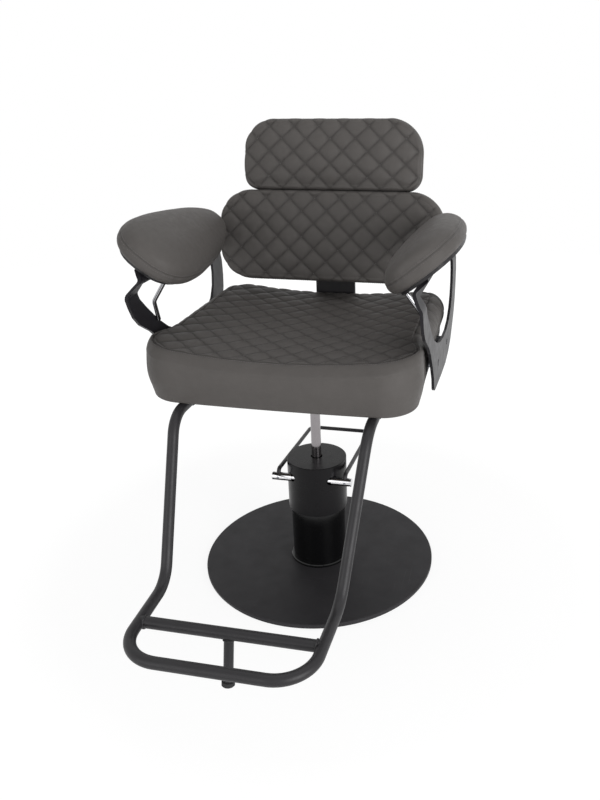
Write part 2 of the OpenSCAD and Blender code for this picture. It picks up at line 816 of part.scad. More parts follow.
module pump_plunger() {
    fork_foot = pedal_level - crank_pin - fork_play - fork_wall;
    fork_top = pedal_level + crank_pin + fork_play + fork_wall;
    fork_front = plunger_place - crank_pin - fork_play;
    fork_back = plunger_place + crank_pin + fork_play;
    plunger_foot = reservoir_top - barrel_depth + barrel_wall + 2 * fork_wall + overrun;
    color(chrome) difference() {
        union() {
            translate([0, plunger_place, plunger_foot]) cylinder(r = plunger_radius, h = fork_foot - plunger_foot);
            translate([-fork_half_width, fork_front, fork_foot])
                cube([2 * fork_half_width, fork_back + fork_wall - fork_front, fork_top - fork_foot]);
        }
        translate([-fork_half_width - overrun, fork_front - overrun, pedal_level - crank_pin - fork_play])
            cube([
                2 * fork_half_width + 2 * overrun,
                fork_back - fork_front + overrun,
                2 * crank_pin + 2 * fork_play
            ]);
    }
}

// Rod, seat plate and seat board

module ram_rod() {
    color(chrome) {
        translate([0, 0, rod_foot]) cylinder(r = rod_radius, h = hub_level - rod_foot);
        translate([0, 0, rod_foot - spigot_reach])
            cylinder(r = spigot_radius, h = spigot_reach + overrun);
        translate([0, 0, hub_level])
            cylinder(r1 = rod_radius, r2 = rod_radius * taper_share, h = hub_length - rod_end_gap);
    }
}

module plate_bolt_places() {
    for (x = [-1, 1], y = [-1, 1])
        translate([x * plate_bolt_spacing / 2, y * plate_bolt_spacing / 2, plate_level]) children();
}

module seat_plate() {
    gusset = [seat_plate_size / 2 - plate_bolt_spacing / 8, hub_length * 3 / 4, seat_plate_thickness];
    color(seat_black) difference() {
        union() {
            translate([0, 0, plate_level])
                rounded_plate([seat_plate_size, seat_plate_size], seat_plate_corner, seat_plate_thickness);
            translate([0, 0, hub_level]) cylinder(r = rod_radius + hub_wall, h = hub_length + overrun);
            for (a = [0:90:270]) rotate(a) translate([0, gusset[2] / 2, plate_level]) rotate([90, 0, 0])
                linear_extrude(gusset[2]) polygon([[0, 0], [gusset[0], 0], [rod_radius, -gusset[1]], [0, -gusset[1]]]);
        }
        translate([0, 0, hub_level])
            cylinder(r1 = rod_radius, r2 = rod_radius * taper_share, h = hub_length - rod_end_gap);
        translate([0, 0, hub_level - overrun]) cylinder(r = rod_radius, h = overrun);
        translate([0, 0, hub_level]) cylinder(r = spigot_radius, h = 2 * hub_length);
        plate_bolt_places() translate([0, 0, -overrun])
            cylinder(r = m8[0] + hole_fit, h = seat_plate_thickness + 2 * overrun);
    }
}

module plate_bolts() {
    color(steel) plate_bolt_places() bolt_up(m8, seat_plate_thickness + board_thickness - overrun);
}

module bar_bolt_places() {
    for (x = [-1, 1], y = [bar_start + 2 * m8[1], seat_depth / 2 - seat_forward - board_inset - 2 * m8[1]])
        translate([x * back_bar_width / 4, y, board_level - back_bar_thickness]) children();
}

function seat_board_size() = [
    seat_width - 2 * board_inset,
    seat_depth - 2 * board_inset
];

module seat_board() {
    color(plywood) difference() {
        translate([0, -seat_forward, board_level])
            rounded_plate(
                seat_board_size(), seat_front_corner - board_inset + board_corner_play, board_thickness
            );
        plate_bolt_places() cylinder(r = m8[0] + hole_fit, h = seat_plate_thickness + board_thickness + overrun);
        bar_bolt_places() cylinder(r = m8[0] + hole_fit, h = back_bar_thickness + board_thickness + overrun);
        clamp_bolt_places() cylinder(r = m6[0] + hole_fit, h = board_thickness + 2 * clamp_thickness);
    }
}

function seat_top(x, y) =
    seat_front_height
    + seat_side_rise * pow(x / seat_half, 2)
    + seat_back_rise * (y / seat_depth + 0.5);

module seat_cushion() {
    back = seat_front_round;
    share = front_round_shares;
    rings = [
        [panel_border / 2, panel_border / 2, 1, -seam_inset / 2, back],
        [seam_inset + seam_groove, seam_inset + seam_groove, 1, -seam_groove, back],
        [seam_inset, seam_inset, 1, -seam_groove - seam_inset, back],
        [0, 0, 1, -welt_height - seam_groove, back * share[0]],
        [-side_bulge / 2, -side_bulge / 2, 1, -welt_height - rim_round, back * share[1]],
        [-side_bulge, -side_bulge, 1 / 2, 0, 0],
        [seat_draw_in, front_draw_in, 0, bottom_roll, 0],
        [board_inset - board_play, board_inset - board_play, 0, 0, 0],
        [board_inset - board_play, board_inset - board_play, 0, board_thickness, 0]
    ];
    color(upholstery) difference() {
        translate(seat_middle) sewn_cushion(
            [seat_half, seat_depth / 2], [seat_back_corner, seat_front_corner], panel_border,
            function(x, y) seat_top(x, y), 0, rings, seat_flare, seat_bow, board_thickness
        );
        for (s = [-1, 1]) arm_place(s) arm_bolt_places() {
            translate([0, 0, arm_steel / 2]) cylinder(r = arm_spacer_radius + fit, h = spacer_length());
            cylinder(r = m8[0] + hole_fit, h = arm_steel / 2 + spacer_length() + arm_bolt_bite);
        }
    }
}

// Footrest

rail_route = [
    [rail_half_spacing, rail_back, rail_level],
    [rail_half_spacing, -rail_front, rail_level],
    [platform_back_half, -leg_front, platform_level],
    [platform_front_half, -bar_front, platform_level],
    [-platform_front_half, -bar_front, platform_level],
    [-platform_back_half, -leg_front, platform_level],
    [-rail_half_spacing, -rail_front, rail_level],
    [-rail_half_spacing, rail_back, rail_level]
];
rail_bends = [0, leg_bend, leg_bend, platform_bend, platform_bend, leg_bend, leg_bend, 0];

module footrest_frame() {
    lead = [0, overrun, 0];
    bore_route = [
        for (i = [0:len(rail_route) - 1])
            rail_route[i] + (i == 0 || i == len(rail_route) - 1 ? lead : [0, 0, 0])
    ];
    color(seat_black) difference() {
        bent_rod(rail_route, rail_bends, tube_radius);
        bent_rod(bore_route, rail_bends, tube_radius - tube_wall);
    }
}

// Half of the platform's width at a given distance from the lower bend to the front
function platform_half_at(y) =
    platform_back_half
    + (platform_front_half - platform_back_half) * (y + leg_front) / (leg_front - bar_front);

crossbar_y = crossbar_spacing - bar_front;

module footrest_crossbar() {
    reach = platform_half_at(crossbar_y);
    color(seat_black) difference() {
        translate([0, crossbar_y, platform_level]) rotate([0, 90, 0]) difference() {
            cylinder(r = tube_radius, h = 2 * reach, center = true);
            cylinder(r = tube_radius - tube_wall, h = 2 * reach + 2 * overrun, center = true);
        }
        for (s = [-1, 1]) bent_rod([
            [s * platform_back_half, -leg_front, platform_level],
            [s * platform_front_half, -bar_front, platform_level]
        ], [0, 0], tube_radius + fit);
    }
}

post_foot = [0, crossbar_y - post_lead, platform_level - post_drop];
post_top = [0, crossbar_y, platform_level];

module footrest_post() {
    color(seat_black) difference() {
        bent_rod([post_top, post_foot], [0, 0], post_radius);
        translate(post_top) rotate([0, 90, 0]) cylinder(r = tube_radius + fit, h = 4 * tube_radius, center = true);
    }
}

module post_glide() {
    d = unit(post_foot - post_top);
    side = [1, 0, 0];
    color(rubber) frame_at(side, cross(d, side), d, post_foot) {
        cylinder(r = glide_radius, h = glide_height - 2 * overrun);
        translate([0, 0, glide_height - 2 * overrun])
            cylinder(r1 = glide_radius, r2 = glide_radius - 2 * overrun, h = 2 * overrun);
    }
}

module clamp_bolt_places() {
    for (s = [-1, 1], y = clamp_places)
        translate([s * (rail_half_spacing - clamp_bolt_reach), y, board_level - clamp_thickness]) children();
}

module rail_clamps() {
    inner = tube_radius + fit;
    color(seat_black) difference() {
        for (s = [-1, 1], y = clamp_places)
            translate([s * rail_half_spacing, y + clamp_width / 2, rail_level]) mirror([s > 0 ? 1 : 0, 0, 0])
                rotate([90, 0, 0]) linear_extrude(clamp_width) {
                difference() {
                    union() {
                        circle(r = inner + clamp_thickness);
                        translate([-inner - clamp_thickness, 0])
                            square([2 * inner + 2 * clamp_thickness, tube_radius]);
                    }
                    circle(r = inner);
                    translate([-inner, 0]) square([2 * inner, 2 * inner]);
                }
                translate([inner, tube_radius - clamp_thickness]) square([clamp_wing - inner, clamp_thickness]);
            }
        clamp_bolt_places() translate([0, 0, -overrun])
            cylinder(r = m6[0] + hole_fit, h = clamp_thickness + 2 * overrun);
    }
}

module clamp_bolts() {
    color(steel) clamp_bolt_places() bolt_up(m6, clamp_thickness + board_thickness - overrun);
}

// Back

bar_route = [
    [bar_start, bar_level],
    [bar_behind, bar_level],
    [bar_behind, bar_bend_level],
    [bar_behind + bar_end * sin(back_lean), bar_bend_level + bar_end * cos(back_lean)]
];

// The frame of the leaning part of the bar: X across, Y up the slope, Z out of its front face
module on_back(along) {
    translate([0, bar_behind, bar_bend_level]) rotate([90 - back_lean, 0, 0])
        translate([0, along, back_bar_thickness / 2]) children();
}

module back_bolt_places() {
    for (along = [lower_pad_middle + back_bolt_offset, upper_pad_middle], x = [-1, 1], y = [-1, 1])
        on_back(along) translate([x * back_bolt_offset, y * back_bolt_offset, -back_bar_thickness]) children();
}

module back_bar() {
    color(seat_black) difference() {
        translate([-back_bar_width / 2, 0, 0]) rotate([90, 0, 90])
            linear_extrude(back_bar_width)
            strip_profile(rounded_route(bar_route, [0, bar_bend_radius, bar_lean_radius, 0]), back_bar_thickness);
        bar_bolt_places() translate([0, 0, -overrun])
            cylinder(r = m8[0] + hole_fit, h = back_bar_thickness + 2 * overrun);
        back_bolt_places() translate([0, 0, -overrun])
            cylinder(r = m8[0] + hole_fit, h = back_bar_thickness + 2 * overrun);
    }
}

module back_bar_bolts() {
    color(steel) bar_bolt_places() bolt_up(m8, back_bar_thickness + board_thickness - overrun);
}

module back_board(along, size, corner) {
    color(plywood) difference() {
        on_back(along) rounded_plate(
            [size[0] - 2 * back_board_inset, size[1] - 2 * back_board_inset],
            corner / 2, back_board_thickness
        );
        back_bolt_places() cylinder(r = m8[0] + hole_fit, h = back_bar_thickness + back_board_thickness + overrun);
    }
}

module back_board_lower() {
    back_board(lower_pad_middle, [lower_pad_width, lower_pad_height], lower_pad_corner);
}

module back_board_upper() {
    back_board(upper_pad_middle, [upper_pad_width, upper_pad_height], upper_pad_corners[1]);
}

module back_cushion(along, size, corners, thickness) {
    rings = [
        [panel_border / 2, panel_border / 2, 1, -seam_inset / 2, 0],
        [seam_inset, seam_inset, 1, -rim_round / 2, 0],
        [0, 0, 1, -rim_round, 0],
        [seam_inset, seam_inset, 1, -rim_round - seam_groove, 0],
        [0, 0, 1, -rim_round - 2 * seam_groove, 0],
        [-pad_side_bulge, 0, 1 / 2, 0, 0],
        [0, 0, 0, pad_bottom_roll, 0],
        [pad_bottom_roll, pad_bottom_roll, 0, 0, 0]
    ];
    color(upholstery) on_back(along) translate([0, 0, back_board_thickness])
        sewn_cushion(
            [size[0] / 2, size[1] / 2], corners, panel_border,
            function(x, y) thickness, pad_crown, rings, 0, 0, 0
        );
}

module back_cushion_lower() {
    back_cushion(
        lower_pad_middle, [lower_pad_width, lower_pad_height],
        [lower_pad_corner, lower_pad_corner], lower_pad_thickness
    );
}

module back_cushion_upper() {
    back_cushion(
        upper_pad_middle, [upper_pad_width, upper_pad_height],
        upper_pad_corners, upper_pad_thickness
    );
}

module back_bolts() {
    color(steel) back_bolt_places() bolt_up(m8, back_bar_thickness + back_board_thickness - overrun);
}

// Arms: in an arm's own frame X points out of the chair and Y runs along the loop

module arm_place(side) {
    mirror([side < 0 ? 1 : 0, 0, 0]) translate([arm_plane, 0, 0]) rotate(-arm_toe_in) children();
}

function arm_at(share) = [share[0] * arm_length - arm_front, share[1] * arm_height + arm_foot];
function spacer_length() = arm_gap - arm_steel / 2 + arm_spacer_sink;

// The arm pad's frame: its middle plane, tipped inwards
arm_pad_place = [-arm_pad_inset, -arm_pad_back, arm_foot + arm_height + arm_pad_raise];

module on_arm_pad() {
    translate(arm_pad_place) rotate([0, -arm_pad_roll, 0]) children();
}

// The bent section of the arm's steel: up, inwards, then out along the pad's underside
function section_route() =
    let (
        out = [cos(arm_pad_roll), sin(arm_pad_roll)],
        off = [-sin(arm_pad_roll), cos(arm_pad_roll)],
        bend = [0, arm_foot + arm_bend_height],
        way = [-sin(arm_bend), cos(arm_bend)],
        under = [arm_pad_place[0], arm_pad_place[2]] - off * (pad_plane_drop + arm_steel / 2),
        reach = (off * (under - bend)) / (off * way),
        turn = bend + way * reach
    ) [[0, arm_foot], bend, turn, turn + out * arm_pad_flange];

module arm_frame(side) {
    color(arm_grey) arm_place(side) difference() {
        intersection() {
            translate([-arm_length / 2, 0, 0]) rotate([90, 0, 90]) linear_extrude(arm_length)
                polygon([for (s = arm_frame_shares) arm_at(s)]);
            translate([0, arm_length, 0]) rotate([90, 0, 0]) linear_extrude(2 * arm_length)
                strip_profile(rounded_route(section_route(), [0, arm_bend_radius, arm_flange_bend, 0]), arm_steel);
        }
        translate([-arm_length / 2, 0, 0]) rotate([90, 0, 90]) linear_extrude(arm_length)
            polygon([for (s = arm_opening_shares) arm_at(s)]);
        arm_bolt_places() translate([0, 0, -arm_steel])
            cylinder(r = m8[0] + hole_fit, h = 2 * arm_steel);
        arm_screw_places() translate([0, 0, -arm_steel - overrun])
            cylinder(r = m6[0] + hole_fit, h = 2 * arm_steel);
    }
}

module arm_frame_left() {
    arm_frame(-1);
}

module arm_frame_right() {
    arm_frame(1);
}

// Places of the bolts into the seat's side, pointing inwards from the loop's middle plane
module arm_bolt_places() {
    for (s = arm_bolt_shares)
        translate([0, arm_at([s, 0])[0], arm_foot + arm_bolt_height]) rotate([0, -90, 0]) children();
}

module arm_spacers() {
    color(steel) for (s = [-1, 1]) arm_place(s) arm_bolt_places() translate([0, 0, arm_steel / 2]) difference() {
        cylinder(r = arm_spacer_radius, h = spacer_length());
        translate([0, 0, -overrun]) cylinder(r = m8[0] + hole_fit, h = spacer_length() + 2 * overrun);
    }
}

module arm_bolts() {
    color(steel) for (s = [-1, 1]) arm_place(s) arm_bolt_places() translate([0, 0, -arm_steel / 2])
        bolt_up(m8, arm_steel + spacer_length() + arm_bolt_bite - overrun);
}

// Places of the screws through the flange, pointing up into the pad's board
module arm_screw_places() {
    route = section_route();
    along = (route[2] + route[3]) / 2;
    for (s = arm_screw_shares)
        translate([along[0], s * arm_length - arm_front, along[1]]) rotate([0, -arm_pad_roll, 0])
            translate([0, 0, arm_steel / 2]) children();
}

module arm_screws() {
    color(steel) for (s = [-1, 1]) arm_place(s) arm_screw_places() translate([0, 0, -arm_steel])
        bolt_up(m6, arm_steel + arm_board_thickness - overrun);
}

function power_of(x, p) = sign(x) * pow(abs(x), p);
function pad_outline(a, inset) =
    let (
        half = [arm_pad_width / 2 - inset, arm_pad_length / 2 - inset],
        y = half[1] * power_of(cos(a), 2 / arm_pad_power)
    ) [half[0] * power_of(sin(a), 2 / arm_pad_power) * (1 - arm_pad_egg_share * y / half[1]), y];

module arm_board(side) {
    steps = arm_pad_steps;
    color(seat_black) arm_place(side) difference() {
        on_arm_pad() translate([0, 0, -pad_plane_drop]) linear_extrude(arm_board_thickness)
            polygon([for (k = [0:steps - 1]) pad_outline(360 * k / steps, arm_board_inset)]);
        arm_screw_places() cylinder(r = m6[0] + hole_fit, h = arm_board_thickness + overrun);
    }
}

module arm_board_left() {
    arm_board(-1);
}

module arm_board_right() {
    arm_board(1);
}

module arm_pad(side) {
    steps = arm_pad_steps;
    edge_top = arm_pad_thickness / 2;
    foot = arm_board_thickness - pad_plane_drop;
    seam_level = edge_top - 2 * arm_pad_seam;
    // Each ring gives its distance inside the outline and its height
    dome = [for (s = [0.3, 0.55, 0.75, 0.9])
        [arm_pad_width / 2 * (1 - s), edge_top + arm_pad_crown * (1 - pow(s, 2.4))]];
    rings = concat(dome, [
        [arm_pad_seam, edge_top - arm_pad_seam / 2],
        [arm_pad_seam / 2, seam_level + arm_pad_seam / 2],
        [arm_pad_seam / 2, seam_level],
        [0, seam_level - arm_pad_seam],
        [0, foot + arm_pad_roll_in],
        [arm_pad_roll_in / 2, foot + arm_pad_roll_in / 4],
        [arm_pad_roll_in, foot]
    ]);
    points = concat(
        [[0, 0, edge_top + arm_pad_crown]],
        [for (r = rings) for (k = [0:steps - 1])
            let (p = pad_outline(-360 * k / steps, r[0])) [p[0], p[1], r[1]]],
        [[0, 0, foot]]
    );
    function at(r, k) = 1 + r * steps + k % steps;
    last = len(points) - 1;
    faces = concat(
        [for (k = [0:steps - 1]) [0, at(0, k + 1), at(0, k)]],
        [for (r = [0:len(rings) - 2]) for (k = [0:steps - 1]) each [
            [at(r, k), at(r, k + 1), at(r + 1, k + 1)],
            [at(r, k), at(r + 1, k + 1), at(r + 1, k)]
        ]],
        [for (k = [0:steps - 1]) [at(len(rings) - 1, k), at(len(rings) - 1, k + 1), last]]
    );
    color(upholstery) arm_place(side) on_arm_pad() polyhedron(points, faces);
}

module arm_pad_left() {
    arm_pad(-1);
}

module arm_pad_right() {
    arm_pad(1);
}

module arm_stay(side) {
    top = [-stay_top_place[0], stay_top_place[1] - arm_front, arm_foot + arm_height - stay_top_place[2]];
    kink = [-stay_kink_place[0], stay_kink_place[1] - arm_front, arm_foot + arm_height - stay_kink_place[2]];
    foot = [-stay_foot_place[0], stay_foot_place[1] - arm_front, arm_foot + arm_height - stay_foot_place[2]];
    color(chrome) arm_place(side) bent_rod([top, kink, foot], [0, 4 * stay_radius, 0], stay_radius);
}

module arm_stay_left() {
    arm_stay(-1);
}

module arm_stay_right() {
    arm_stay(1);
}

floor_ring();
base_plate();
base_bolts();
reservoir();
pump_head();
ram_cylinder();
guide_bush();
gland_cap();
wiper_seal();
pump_shroud();
top_disc();
piston();
piston_seal();
thrust_washer();
rocker_shaft();
crank_arm();
pedal_bail();
pedal_sleeve_left();
pedal_sleeve_right();
sleeve_screws();
pump_plunger();
ram_rod();
seat_plate();
plate_bolts();
seat_board();
seat_cushion();
footrest_frame();
footrest_crossbar();
footrest_post();
post_glide();
rail_clamps();
clamp_bolts();
back_bar();
back_bar_bolts();
back_board_lower();
back_board_upper();
back_cushion_lower();
back_cushion_upper();
back_bolts();
arm_frame_left();
arm_frame_right();
arm_spacers();
arm_bolts();
arm_board_left();
arm_board_right();
arm_screws();
arm_pad_left();
arm_pad_right();
arm_stay_left();
arm_stay_right();
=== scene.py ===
import json
import math
import random
from typing import NamedTuple

import bpy
import numpy as np
from mathutils import Matrix, Vector


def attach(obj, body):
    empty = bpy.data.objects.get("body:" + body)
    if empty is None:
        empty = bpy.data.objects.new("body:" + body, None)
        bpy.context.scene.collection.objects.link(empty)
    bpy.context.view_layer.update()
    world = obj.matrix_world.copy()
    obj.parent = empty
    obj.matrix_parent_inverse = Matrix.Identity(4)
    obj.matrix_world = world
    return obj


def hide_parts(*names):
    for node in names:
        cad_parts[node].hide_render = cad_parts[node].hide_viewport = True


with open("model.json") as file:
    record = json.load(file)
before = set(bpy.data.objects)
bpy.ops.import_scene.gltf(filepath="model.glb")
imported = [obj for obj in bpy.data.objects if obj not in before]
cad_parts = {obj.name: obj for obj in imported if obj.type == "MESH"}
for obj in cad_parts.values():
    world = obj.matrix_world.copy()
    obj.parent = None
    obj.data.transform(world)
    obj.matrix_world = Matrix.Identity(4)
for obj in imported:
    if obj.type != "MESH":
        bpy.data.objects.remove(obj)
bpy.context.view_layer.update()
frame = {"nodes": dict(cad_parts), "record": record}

MM = 0.001
WHITE = (1, 1, 1, 1)
rng = random.Random(11)
scene = bpy.context.scene
scene.view_settings.view_transform = "Standard"


# Materials

def linear(hexcode):
    """The linear colour of an sRGB hex code."""
    out = []
    for i in (1, 3, 5):
        c = int(hexcode[i:i + 2], 16) / 255
        out.append(c / 12.92 if c <= 0.04045 else ((c + 0.055) / 1.055) ** 2.4)
    return tuple(out) + (1.0,)


def shade(colour, k):
    return tuple(min(1.0, v * k) for v in colour[:3]) + (1.0,)


def fill_socket(tree, socket, value):
    """Link a node's output to a socket, or set the socket's own value."""
    if isinstance(value, bpy.types.NodeSocket):
        tree.links.new(value, socket)
    else:
        socket.default_value = value


def add_node(tree, kind, inputs=None, **props):
    """A node with its properties set and its inputs filled by name or place."""
    n = tree.nodes.new(kind)
    for k, v in props.items():
        setattr(n, k, v)
    for place, value in (inputs or {}).items():
        fill_socket(tree, n.inputs[place], value)
    return n


def showing_rays(tree):
    """1 on the rays that show the background: those of the camera, gloss and glass."""
    path = add_node(tree, "ShaderNodeLightPath")
    shown = path.outputs["Is Camera Ray"]
    for kind in ("Is Glossy Ray", "Is Transmission Ray"):
        shown = add_node(tree, "ShaderNodeMath", {0: shown, 1: path.outputs[kind]},
                         operation="MAXIMUM").outputs[0]
    return shown


class Mat:
    """A material on a Principled shader. Noise scales are in waves a metre, depths in metres."""

    def __init__(self, name):
        self.m = bpy.data.materials.new(name)
        self.m.use_nodes = True
        self.t = self.m.node_tree
        self.t.nodes.clear()
        self.out = self.node("ShaderNodeOutputMaterial")
        self.p = self.node("ShaderNodeBsdfPrincipled")
        self.t.links.new(self.p.outputs[0], self.out.inputs[0])
        self.coord = self.node("ShaderNodeTexCoord").outputs["Object"]

    def node(self, kind, inputs=None, **props):
        return add_node(self.t, kind, inputs, **props)

    def stretch(self, scale, turn=(0, 0, 0)):
        return self.node("ShaderNodeMapping",
                         {"Vector": self.coord, "Scale": scale, "Rotation": turn}).outputs[0]

    def noise(self, scale, detail=4.0, rough=0.55, vector=None):
        return self.node("ShaderNodeTexNoise",
                         {"Vector": vector or self.coord, "Scale": scale, "Detail": detail,
                          "Roughness": rough}).outputs["Fac"]

    def streaks(self, scale, detail, rough, turn=(0, 0, 0)):
        """Noise drawn out along an axis."""
        return self.noise(1.0, detail, rough, self.stretch(scale, turn))

    def cells(self, scale):
        return self.node("ShaderNodeTexVoronoi", {"Vector": self.coord, "Scale": scale},
                         feature="DISTANCE_TO_EDGE").outputs["Distance"]

    def ramp(self, fac, stops):
        n = self.node("ShaderNodeValToRGB", {0: fac})
        e = n.color_ramp.elements
        while len(e) < len(stops):
            e.new(0.5)
        for el, (pos, col) in zip(e, stops):
            el.position = pos
            el.color = col if hasattr(col, "__len__") else (col, col, col, 1)
        return n.outputs[0]

    def spread(self, scale, detail, low, high, ends=(0.3, 0.7)):
        """A value or colour that wanders from low to high over the surface."""
        return self.ramp(self.noise(scale, detail), [(ends[0], low), (ends[1], high)])

    def mix(self, fac, a, b, kind="MIX"):
        return self.node("ShaderNodeMix", {0: fac, 6: a, 7: b},
                         data_type="RGBA", blend_type=kind).outputs[2]

    def math(self, operation, a, b):
        return self.node("ShaderNodeMath", {0: a, 1: b}, operation=operation).outputs[0]

    def bump(self, height, strength, depth, below=None):
        n = self.node("ShaderNodeBump", {"Height": height, "Strength": strength, "Distance": depth})
        if below is not None:
            fill_socket(self.t, n.inputs["Normal"], below)
        return n.outputs[0]

    def attribute(self, name):
        return self.node("ShaderNodeAttribute", attribute_name=name).outputs["Fac"]

    def set(self, **sockets):
        for k, v in sockets.items():
            fill_socket(self.t, self.p.inputs[k.replace("_", " ")], v)
        return self


def leather(name, hexcode, rough=0.55, gloss=0.19, crease_shade_share=0.85, crease_shade_tone=0.42):
    """Smooth grained leather, with shade painted into its colour in the creases and valleys that a
    mesh attribute marks.
    """
    m = Mat(name)
    base = linear(hexcode)
    clouds = m.spread(7, 3, shade(base, 0.93), shade(base, 1.06))
    worn = m.spread(55, 4, shade(base, 0.95), shade(base, 1.05), (0.35, 0.65))
    # Painted shade: the colour darkens in the creases and the quilting's valleys
    painted_crease_shade = m.math("MULTIPLY", m.attribute("painted_crease_shade"), crease_shade_share)
    colour = m.mix(painted_crease_shade, m.mix(0.5, clouds, worn), shade(base, crease_shade_tone))
    pores = m.ramp(m.cells(780), [(0.0, 0.0), (0.16, 1.0)])
    creases = m.noise(210, 5, 0.62)
    puckers = m.noise(38, 3)
    grain = None
    for height, strength, depth in ((pores, 0.22, 0.00012), (creases, 0.30, 0.00035),
                                    (puckers, 0.20, 0.0012)):
        grain = m.bump(height, strength, depth, grain)
    return m.set(Base_Color=colour, Roughness=m.spread(90, 4, rough - 0.06, rough + 0.07),
                 Normal=grain, Specular_IOR_Level=gloss).m


def thread(name, hexcode):
    m = Mat(name)
    base = linear(hexcode)
    twist = m.noise(2600, 2, 0.5, m.stretch((1.0, 1.0, 0.35), (0.6, 0.3, 0.2)))
    colour = m.ramp(twist, [(0.35, shade(base, 0.75)), (0.65, shade(base, 1.15))])
    return m.set(Base_Color=colour, Roughness=0.62, Normal=m.bump(twist, 0.5, 0.0001)).m


def painted(name, hexcode, rough, gloss, vary=0.05, coat=0.0, peel=1500, strength=0.3,
            depth=0.00006):
    """A sprayed coat, with the fine orange peel of its drops."""
    m = Mat(name)
    base = linear(hexcode)
    colour = m.spread(24, 4, shade(base, 0.88), shade(base, 1.12))
    m.set(Base_Color=colour, Roughness=m.spread(42, 5, rough - vary, rough + vary),
          Normal=m.bump(m.noise(peel, 3, 0.6), strength, depth), Specular_IOR_Level=gloss)
    return m.set(Coat_Weight=coat, Coat_Roughness=0.08).m


def scratched_plate(name, hexcode, gloss=0.18):
    """A matt coat with patches of fine scratches in three directions, and a little dust."""
    m = Mat(name)
    base = linear(hexcode)
    cloudy = m.spread(11, 5, shade(base, 0.86), shade(base, 1.16))
    lines = None
    for turn, scale in ((0.4, (9, 900, 9)), (-0.9, (700, 7, 9)), (1.9, (6, 800, 9))):
        fine = m.ramp(m.streaks(scale, 2, 0.5, (0, 0, turn)), [(0.66, 0.0), (0.72, 1.0)])
        patch = m.spread(16 + 5 * turn, 3, 0.0, 1.0, (0.52, 0.62))
        fine = m.mix(1.0, fine, patch, "MULTIPLY")
        lines = fine if lines is None else m.mix(1.0, lines, fine, "LIGHTEN")
    colour = m.mix(m.math("MULTIPLY", lines, 0.6), cloudy, shade(base, 2.4))
    dust = m.ramp(m.noise(320, 4, 0.7), [(0.62, 0.0), (0.70, 1.0)])
    colour = m.mix(m.math("MULTIPLY", dust, 0.10), colour, shade(base, 2.8))
    return m.set(Base_Color=colour, Roughness=m.spread(28, 5, 0.44, 0.56), Specular_IOR_Level=gloss,
                 Normal=m.bump(m.noise(1300, 3, 0.6), 0.4, 0.0001)).m


def metal(name, hexcode, rough, vary=0.04, brushed=(700, 700, 60), strength=0.06):
    """Bare or plated metal with very fine brushed lines."""
    m = Mat(name)
    base = linear(hexcode)
    return m.set(Base_Color=m.spread(60, 5, shade(base, 0.93), base), Metallic=1.0,
                 Roughness=m.spread(35, 4, rough - vary, rough + vary),
                 Normal=m.bump(m.streaks(brushed, 3, 0.6), strength, 0.00004)).m


def turned_metal(name, hexcode, rough):
    """Metal with the fine rings of a lathe."""
    return metal(name, hexcode, rough, vary=0.06, brushed=(60, 60, 2400), strength=0.25)


def wood(name, hexcode):
    m = Mat(name)
    base = linear(hexcode)
    rings = m.streaks((14, 160, 160), 6, 0.6)
    colour = m.ramp(rings, [(0.3, shade(base, 0.72)), (0.55, base), (0.8, shade(base, 1.15))])
    plies = m.ramp(m.streaks((3, 3, 700), 1, 0.5), [(0.45, 1.0), (0.55, 0.82)])
    colour = m.mix(1.0, colour, plies, "MULTIPLY")
    return m.set(Base_Color=colour, Roughness=0.62, Normal=m.bump(rings, 0.3, 0.0003)).m


def rubber(name, hexcode):
    m = Mat(name)
    base = linear(hexcode)
    return m.set(Base_Color=m.spread(45, 4, shade(base, 0.8), shade(base, 1.3)), Roughness=0.78,
                 Normal=m.bump(m.noise(900, 4, 0.6), 0.5, 0.0002)).m


mats = {
    "upholstery": leather("upholstery_leather", "#524f4d"),
    "thread": thread("sewing_thread", "#5c5958"),
    "satin_black": painted("satin_black_coat", "#272628", 0.42, 0.28, strength=0.35, depth=0.00008),
    "plate_black": scratched_plate("matt_plate_coat", "#2c2b2d"),
    "gloss_black": painted("gloss_black_enamel", "#080809", 0.14, 0.30, vary=0.03, coat=0.08,
                           peel=400, strength=0.10),
    "shroud": painted("shroud_coat", "#0f0e10", 0.30, 0.16, peel=1100, strength=0.25),
    "arm_grey": painted("arm_grey_coat", "#201f22", 0.38, 0.15),
    # Darker copies of the chrome for the stays and the ram: shade painted into the metal's colour
    "chrome_shaded_for_stays": metal("stay_chrome_shaded_copy", "#b4b4b7", 0.12),
    "chrome_shaded_for_ram": metal("ram_chrome_shaded_copy", "#949092", 0.14),
    "chrome": metal("bright_chrome", "#d8d8da", 0.08),
    "steel": turned_metal("turned_steel", "#8d8f94", 0.30),
    "bronze": turned_metal("bearing_bronze", "#a9814a", 0.32),
    "rubber": rubber("moulded_rubber", "#1b1b1c"),
    "plywood": wood("stained_plywood", "#40372f"),
}

# Nodes whose look differs from their slot's
own_look = {"pump_shroud": "shroud", "top_disc": "shroud", "ram_rod": "chrome_shaded_for_ram",
            "arm_bolts": "arm_grey", "arm_screws": "arm_grey",
            "arm_stay_left": "chrome_shaded_for_stays", "arm_stay_right": "chrome_shaded_for_stays"}
slots = {s["node"]: s["material_slot"] for s in frame["record"]["subparts"]}
for n, o in frame["nodes"].items():
    look = mats[own_look.get(n, slots[n])]
    if not o.material_slots:
        o.data.materials.append(look)
    for s in o.material_slots:
        s.link = "OBJECT"
        s.material = look


# Meshes from arrays

